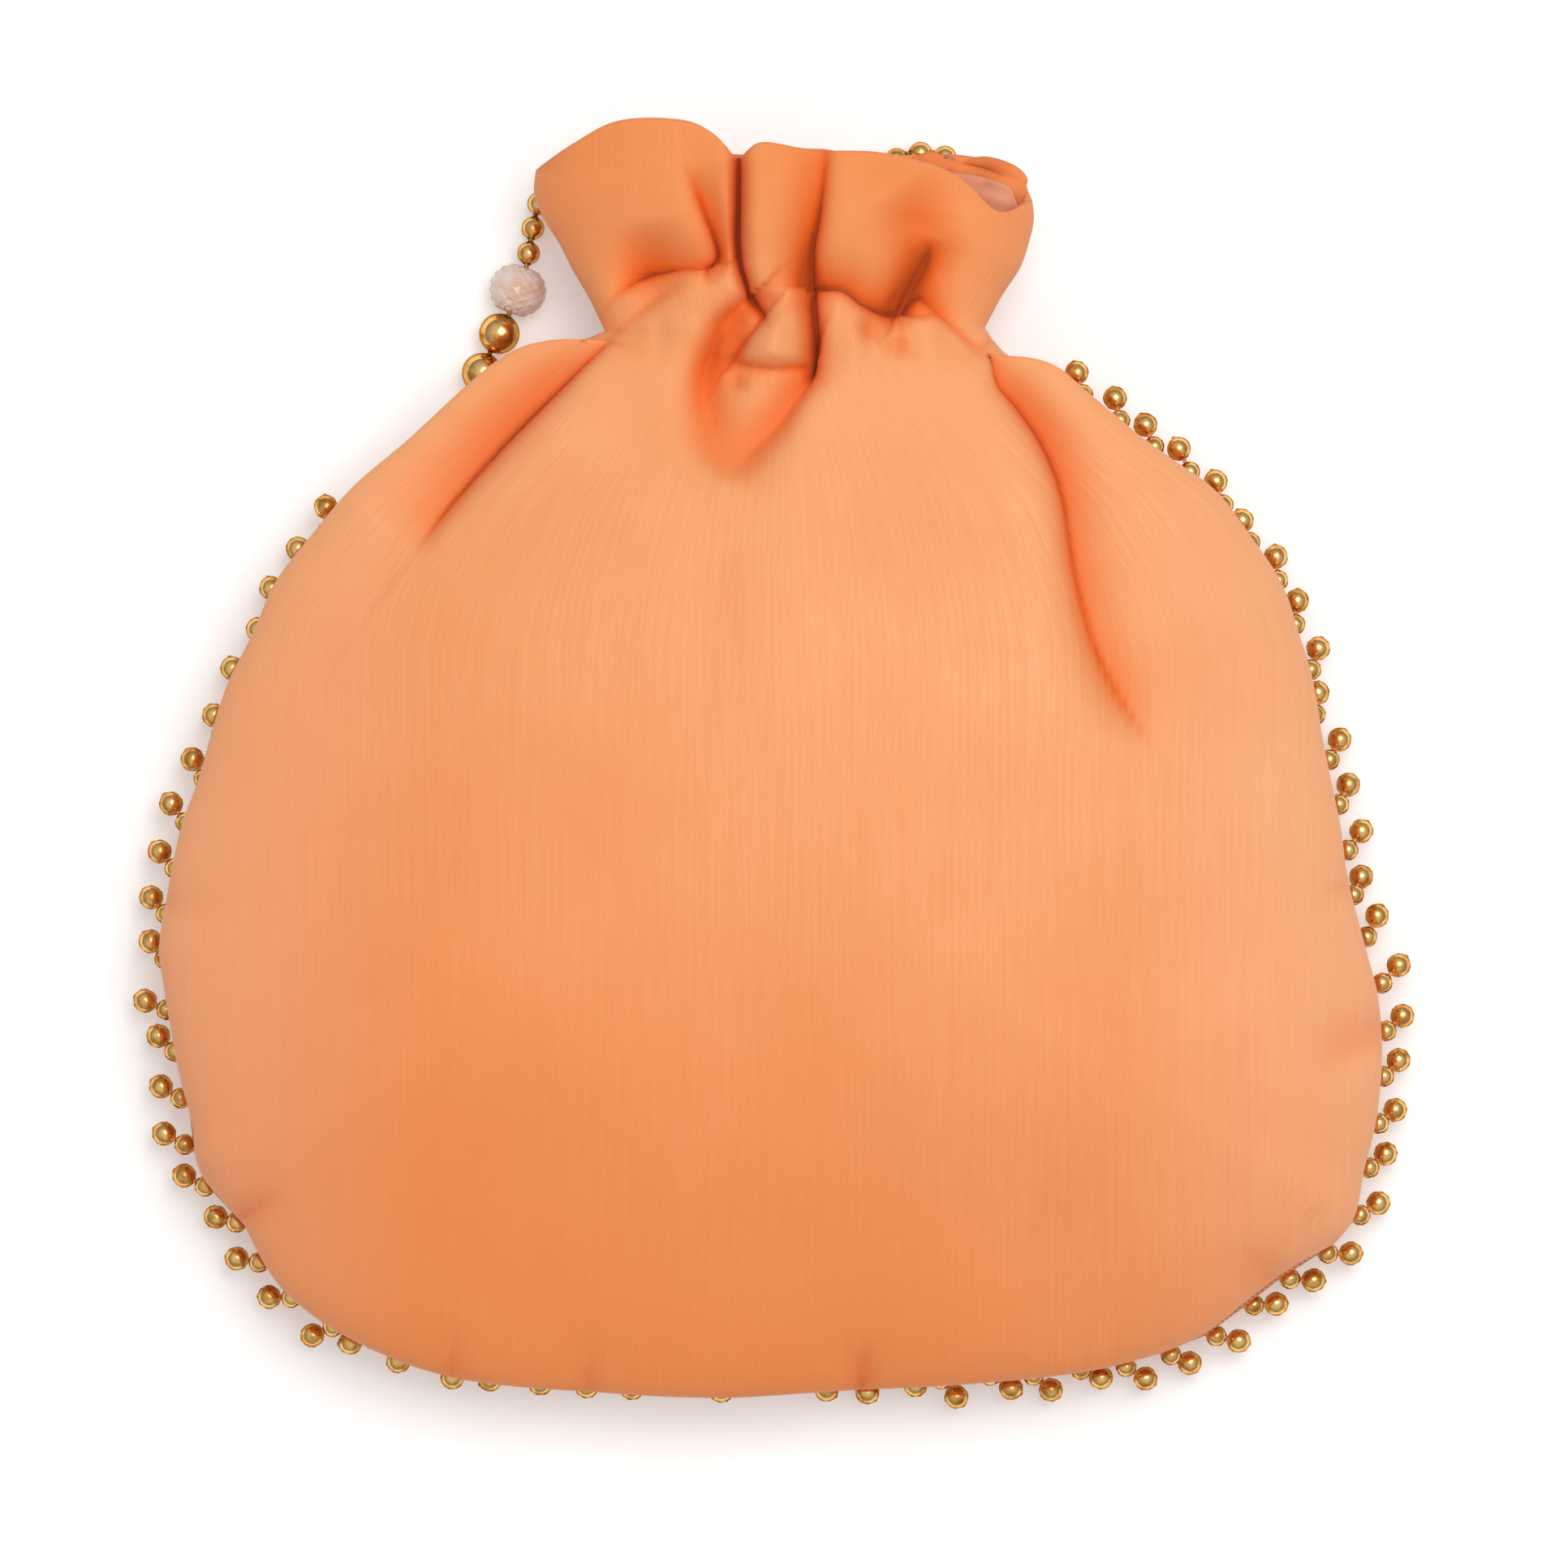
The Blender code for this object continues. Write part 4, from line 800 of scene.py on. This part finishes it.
def edgePair():
    # two balls, standing up from the seam
    deselect()
    parts = []
    reach = edging["reach"]
    for size, height in ((edging["inner"], reach), (edging["outer"], reach + edging["step"])):
        bpy.ops.mesh.primitive_uv_sphere_add(segments=10, ring_count=7, radius=size / 2,
                                             location=(0, 0, height))
        parts.append(bpy.context.object)
        bpy.ops.object.shade_smooth()
    pair = joined("edgePair", parts)
    bpy.ops.object.transform_apply()
    return pair


def edgeStitch():
    # the doubled thread that holds a pair
    deselect()
    length = edging["reach"] + edging["step"] + edging["outer"] * edging["end"]
    bpy.ops.mesh.primitive_cylinder_add(vertices=6, radius=edging["stitch"], depth=length,
                                        location=(0, 0, length / 2))
    stitch = bpy.context.object
    bpy.ops.object.transform_apply()
    bpy.ops.object.shade_smooth_by_angle(angle=math.radians(70))
    return stitch


def makeEdging():
    path, outward, tangent = edgeLine()
    pair, stitch = edgePair(), edgeStitch()
    random = np.random.default_rng(edging["seed"])
    pairs, stitches = [], []
    for index in range(1, len(path) - 1):
        if index <= edging["tucked"]:
            lean = edging["tuckedLean"]
        else:
            lean = edging["lean"] + random.normal(0, edging["leanSpread"])
        if path[index, 0] > 0 and path[index, 1] > edging["upperRight"]:
            lean += edging["upperLean"] - edging["lean"]
        lean = math.radians(lean)
        droop = math.radians(edging["droop"] + random.normal(0, edging["droopSpread"]))
        toMouth = -1.0 if path[index, 0] < 0 else 1.0
        level = math.cos(lean) * outward[index] + toMouth * math.sin(lean) * tangent[index]
        axis = math.cos(droop) * level - np.array([0, 0, math.sin(droop)])
        pairs.append(standing(pair, path[index], axis))
        stitches.append(standing(stitch, path[index], axis))
    line = threadTube("edgeLine", path, edging["thread"])
    beads = joined("edgeBeads", pairs)
    thread = joined("edgeThread", [line] + stitches)
    bpy.data.objects.remove(pair)
    bpy.data.objects.remove(stitch)
    return beads, thread


edgeBeads, edgeThread = makeEdging()
print("edging sewn on:", len(edgeBeads.data.polygons), "faces")


def makeDrawstring():
    ring = drawstring
    angles = np.linspace(0, 2 * math.pi, ring["points"], endpoint=False)
    centre = np.array([(ring["left"] + ring["right"]) / 2, ring["y"], ring["middle"]])
    half = (ring["right"] - ring["left"]) / 2
    line = centre + np.column_stack([half * np.cos(angles), 0 * angles, ring["half"] * np.sin(angles)])
    for index in np.flatnonzero(np.sin(angles) > 0):
        x, y, z = line[index]
        line[index, 2] = min(underFront(x, y + step * ring["beside"], z, ring["room"]) for step in (-1, 0, 1))
    # the same cord on past both its ends, so that the smoothing goes right round
    ends = ring["smoothing"] // 2
    around = np.concatenate([line[-ends:, 2], line[:, 2], line[:ends, 2]])
    line[:, 2] = np.convolve(around, np.full(ring["smoothing"], 1 / ring["smoothing"]), "valid")
    turns = round(pathLengths(np.vstack([line, line[:1]]))[-1] / ring["lay"])
    plies = []
    side = np.column_stack([np.cos(angles), 0 * angles, np.sin(angles)])
    for phase in (0, math.pi):
        twist = (turns * angles + phase)[:, None]
        path = line + ring["width"] / 4 * (np.cos(twist) * side + np.sin(twist) * np.array([0, 1, 0]))
        plies.append(threadTube("ply", path, ring["width"] / 2, closed=True))
    return joined("drawstringCord", plies)


drawstringCord = makeDrawstring()
print("drawstring threaded")

for piece, node in ((frontPanel, "front_panel"), (backPanel, "back_panel"), (frontLining, "front_lining"),
                    (backLining, "back_lining"), (edgeBeads, "bead_edging"), (edgeThread, "bead_edging"),
                    (drawstringCord, "drawstring")):
    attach(piece, "root")
    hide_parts(node)


def woven(name, light, dark, deep, darkestShade, lowerShadeTint, flankLightTint, roughness, streakSize, contrast):
    # plain weave of slubbed yarn: fine upright streaks and a faint weft, read from the flat cloth's own
    # coordinates in metres. Yarns are 0.5 mm apart, coarser than the real 0.2 mm, so that they show
    made, tree = newMaterial(name)
    cloth = addNode(tree, "ShaderNodeUVMap", uv_map="cloth").outputs["UV"]
    placed = addNode(tree, "ShaderNodeTexCoord").outputs["Object"]
    fields = {}
    for field, scale, detail in (("slub", (1000 / streakSize, 30, 1), 2.0), ("yarn", (2000, 200, 1), 1.0),
                                 ("weft", (160, 1600, 1), 1.0)):
        spread = addNode(tree, "ShaderNodeVectorMath", {0: cloth, 1: scale}, operation="MULTIPLY")
        fields[field] = addNode(tree, "ShaderNodeTexNoise", {"Vector": spread, "Scale": 1.0,
                                                             "Detail": detail})
    patches = addNode(tree, "ShaderNodeTexNoise", {"Vector": placed, "Scale": 28.0, "Detail": 3.0})
    paintedCreaseShade = addNode(tree, "ShaderNodeAttribute", attribute_name="paintedCreaseShade").outputs["Fac"]
    # painted shade deeper towards the lower left of the belly, a deeper tint up the frill, and painted light
    # paler at the flanks
    lower = addNode(tree, "ShaderNodeVectorMath", {0: placed, 1: (-0.35, -0.8, 0)},
                    operation="DOT_PRODUCT").outputs["Value"]
    axes = addNode(tree, "ShaderNodeSeparateXYZ", {0: placed}).outputs
    flank = addNode(tree, "ShaderNodeMath", {0: axes["X"]}, operation="ABSOLUTE")
    # slubs, yarns and patches are the cloth's own tone; the crease attribute paints shade into the folds: the
    # deep tint, then the darkest shade in the deepest folds and along the crease lines
    colour = light
    for value, low, high, most, tint in (
            (fields["slub"], 0.35, 0.65, contrast, dark), (patches, 0.35, 0.75, 0.55, dark),
            (fields["yarn"], 0.3, 0.7, contrast * 0.7, dark), (lower, -0.03, 0.09, 0.75, lowerShadeTint),
            (axes["Y"], 0.07, 0.11, 0.6, lowerShadeTint), (flank, 0.065, 0.12, 0.45, flankLightTint),
            (paintedCreaseShade, 0.03, 0.6, 0.85, deep), (paintedCreaseShade, 0.58, 1.0, 0.75, darkestShade)):
        amount = addNode(tree, "ShaderNodeMapRange", {0: value, 1: low, 2: high, 3: 0.0, 4: most})
        colour = addNode(tree, "ShaderNodeMix", {0: amount, 6: colour, 7: tint}, data_type="RGBA").outputs[2]
    height = addNode(tree, "ShaderNodeMath", {0: fields["slub"], 1: 1.2, 2: fields["yarn"]},
                     operation="MULTIPLY_ADD")
    height = addNode(tree, "ShaderNodeMath", {0: fields["weft"], 1: 0.6, 2: height}, operation="MULTIPLY_ADD")
    bump = addNode(tree, "ShaderNodeBump", {"Height": height, "Strength": 0.3, "Distance": 0.0001})
    rough = addNode(tree, "ShaderNodeMapRange", {0: fields["slub"], 1: 0.3, 2: 0.7, 3: roughness + 0.05,
                                                 4: roughness - 0.05})
    shader = addNode(tree, "ShaderNodeBsdfPrincipled",
                     {"Base Color": colour, "Roughness": rough, "Normal": bump, "Specular IOR Level": 0.25,
                      "Sheen Weight": 0.12, "Sheen Roughness": 0.45, "Sheen Tint": "#FFE3CC"})
    addNode(tree, "ShaderNodeOutputMaterial", {"Surface": shader})
    return made


def polished(name, grain, detail, tints, tintRange, roughness, roughRange, more):
    # a smooth hard surface, its tint and polish a little uneven
    made, tree = newMaterial(name)
    placed = addNode(tree, "ShaderNodeTexCoord").outputs["Object"]
    worn = addNode(tree, "ShaderNodeTexNoise", {"Vector": placed, "Scale": grain, "Detail": detail})
    amount = addNode(tree, "ShaderNodeMapRange", {0: worn, 1: tintRange[0], 2: tintRange[1]})
    colour = addNode(tree, "ShaderNodeMix", {0: amount, 6: tints[0], 7: tints[1]},
                     data_type="RGBA").outputs[2]
    rough = addNode(tree, "ShaderNodeMapRange", {0: worn, 1: roughRange[0], 2: roughRange[1],
                                                 3: roughness[0], 4: roughness[1]})
    shader = addNode(tree, "ShaderNodeBsdfPrincipled", {"Base Color": colour, "Roughness": rough, **more})
    addNode(tree, "ShaderNodeOutputMaterial", {"Surface": shader})
    return made


def spunCord(name, light, dark, metallic=0.0, roughness=0.75):
    # twisted yarn: fine slanting plies, 2.4 mm to a turn
    made, tree = newMaterial(name)
    placed = addNode(tree, "ShaderNodeTexCoord").outputs["Object"]
    plies = addNode(tree, "ShaderNodeTexWave", {"Vector": placed, "Scale": 420.0, "Distortion": 1.5,
                                                "Detail": 1.0}, bands_direction="DIAGONAL").outputs["Fac"]
    bump = addNode(tree, "ShaderNodeBump", {"Height": plies, "Strength": 0.5, "Distance": 0.0001})
    colour = addNode(tree, "ShaderNodeMix", {0: plies, 6: dark, 7: light}, data_type="RGBA").outputs[2]
    shader = addNode(tree, "ShaderNodeBsdfPrincipled", {"Base Color": colour, "Roughness": roughness,
                                                        "Metallic": metallic, "Normal": bump})
    addNode(tree, "ShaderNodeOutputMaterial", {"Surface": shader})
    return made


silk = woven("slubSilk", light="#FCB27C", dark="#F09658", deep="#EC6200", darkestShade="#943000",
             lowerShadeTint="#F4853F", flankLightTint="#FCC29A", roughness=0.6, streakSize=0.75, contrast=0.35)
satin = woven("satinLining", light="#F2AE8A", dark="#EA9F78", deep="#D4703F", darkestShade="#8A3A18",
              lowerShadeTint="#EAA083", flankLightTint="#F2AE8A", roughness=0.42, streakSize=0.5, contrast=0.25)
# gold-plated brass balls: bright, thinly lacquered, browner where the plating has worn
gold = polished("goldPlatedBrass", 420.0, 2.0, ("#F2C47C", "#B9782C"), (0.45, 0.75), (0.16, 0.34), (0.4, 0.8),
                {"Metallic": 1.0, "Specular Tint": "#B0702C"})
# clear cast acrylic, faceted and polished, with a faint blush
acrylic = polished("cutAcrylic", 300.0, 1.0, ("#F3CDB4", "#FFF2EA"), (0.3, 0.7), (0.03, 0.1), (0.3, 0.7),
                   {"IOR": 1.49, "Transmission Weight": 0.25})
cotton = spunCord("peachCotton", "#F2A878", "#D07C48")
metalYarn = spunCord("zariThread", "#C9963A", "#7A5216", 0.6, 0.4)
for piece, finish, slot in (
        (frontPanel, silk, "silk"), (backPanel, silk, "silk"), (frontLining, satin, "satin_lining"),
        (backLining, satin, "satin_lining"), (edgeBeads, gold, "gold_bead"),
        (edgeThread, cotton, "cotton_cord"), (drawstringCord, cotton, "cotton_cord"),
        (handleThread, metalYarn, "cotton_cord"), (handleBeads["small"], gold, "gold_bead"),
        (handleBeads["large"], gold, "gold_bead"), (handleBeads["crystal"], acrylic, "cut_acrylic")):
    wear(piece, finish)
print("materials given")


# floor, lamp and room
studio = {
    "floorSize": 6.0, "floorGlow": 0.25,
    "sky": "#FFFFFF", "horizon": "#8E8C8A", "skyStrength": 0.75,
    "lampPlace": (0.35, 0.45, 1.7), "lampSize": 1.0, "lampPower": 14,
}
deselect()
bpy.ops.mesh.primitive_plane_add(size=studio["floorSize"])
floor = bpy.context.object
floor.name = "floor"
paper, tree = newMaterial("whitePaper")
# white to the camera and in the beads, lit by the lamps for the rest, so that the shadow stays
rays = addNode(tree, "ShaderNodeLightPath").outputs
seen = rays["Is Camera Ray"]
for kind in ("Is Glossy Ray", "Is Transmission Ray"):
    seen = addNode(tree, "ShaderNodeMath", {0: seen, 1: rays[kind]}, operation="MAXIMUM")
glow = addNode(tree, "ShaderNodeMath", {0: seen, 1: studio["floorGlow"]}, operation="MULTIPLY")
shader = addNode(tree, "ShaderNodeBsdfPrincipled",
                 {"Base Color": "#F4F4F4", "Roughness": 0.9, "Specular IOR Level": 0.1,
                  "Emission Color": "#FFFFFF", "Emission Strength": glow})
addNode(tree, "ShaderNodeOutputMaterial", {"Surface": shader})
floor.data.materials.append(paper)

bpy.ops.object.light_add(type="AREA", location=studio["lampPlace"])
lamp = bpy.context.object
lamp.data.size = studio["lampSize"]
lamp.data.energy = studio["lampPower"]
lamp.rotation_euler = (-Vector(studio["lampPlace"])).to_track_quat("-Z", "Y").to_euler()

world = bpy.data.worlds.new("softRoom")
bpy.context.scene.world = world
world.use_nodes = True
tree = world.node_tree
tree.nodes.clear()
direction = addNode(tree, "ShaderNodeTexCoord").outputs["Generated"]
height = addNode(tree, "ShaderNodeSeparateXYZ", {0: direction}).outputs["Z"]
amount = addNode(tree, "ShaderNodeMapRange", {0: height, 1: 0.0, 2: 0.85})
tint = addNode(tree, "ShaderNodeMix", {0: amount, 6: studio["horizon"], 7: studio["sky"]},
               data_type="RGBA").outputs[2]
back = addNode(tree, "ShaderNodeBackground", {"Color": tint, "Strength": studio["skyStrength"]})
addNode(tree, "ShaderNodeOutputWorld", {"Surface": back})
bpy.context.scene.view_settings.view_transform = "Standard"
print("studio lit")

bpy.context.view_layer.update()
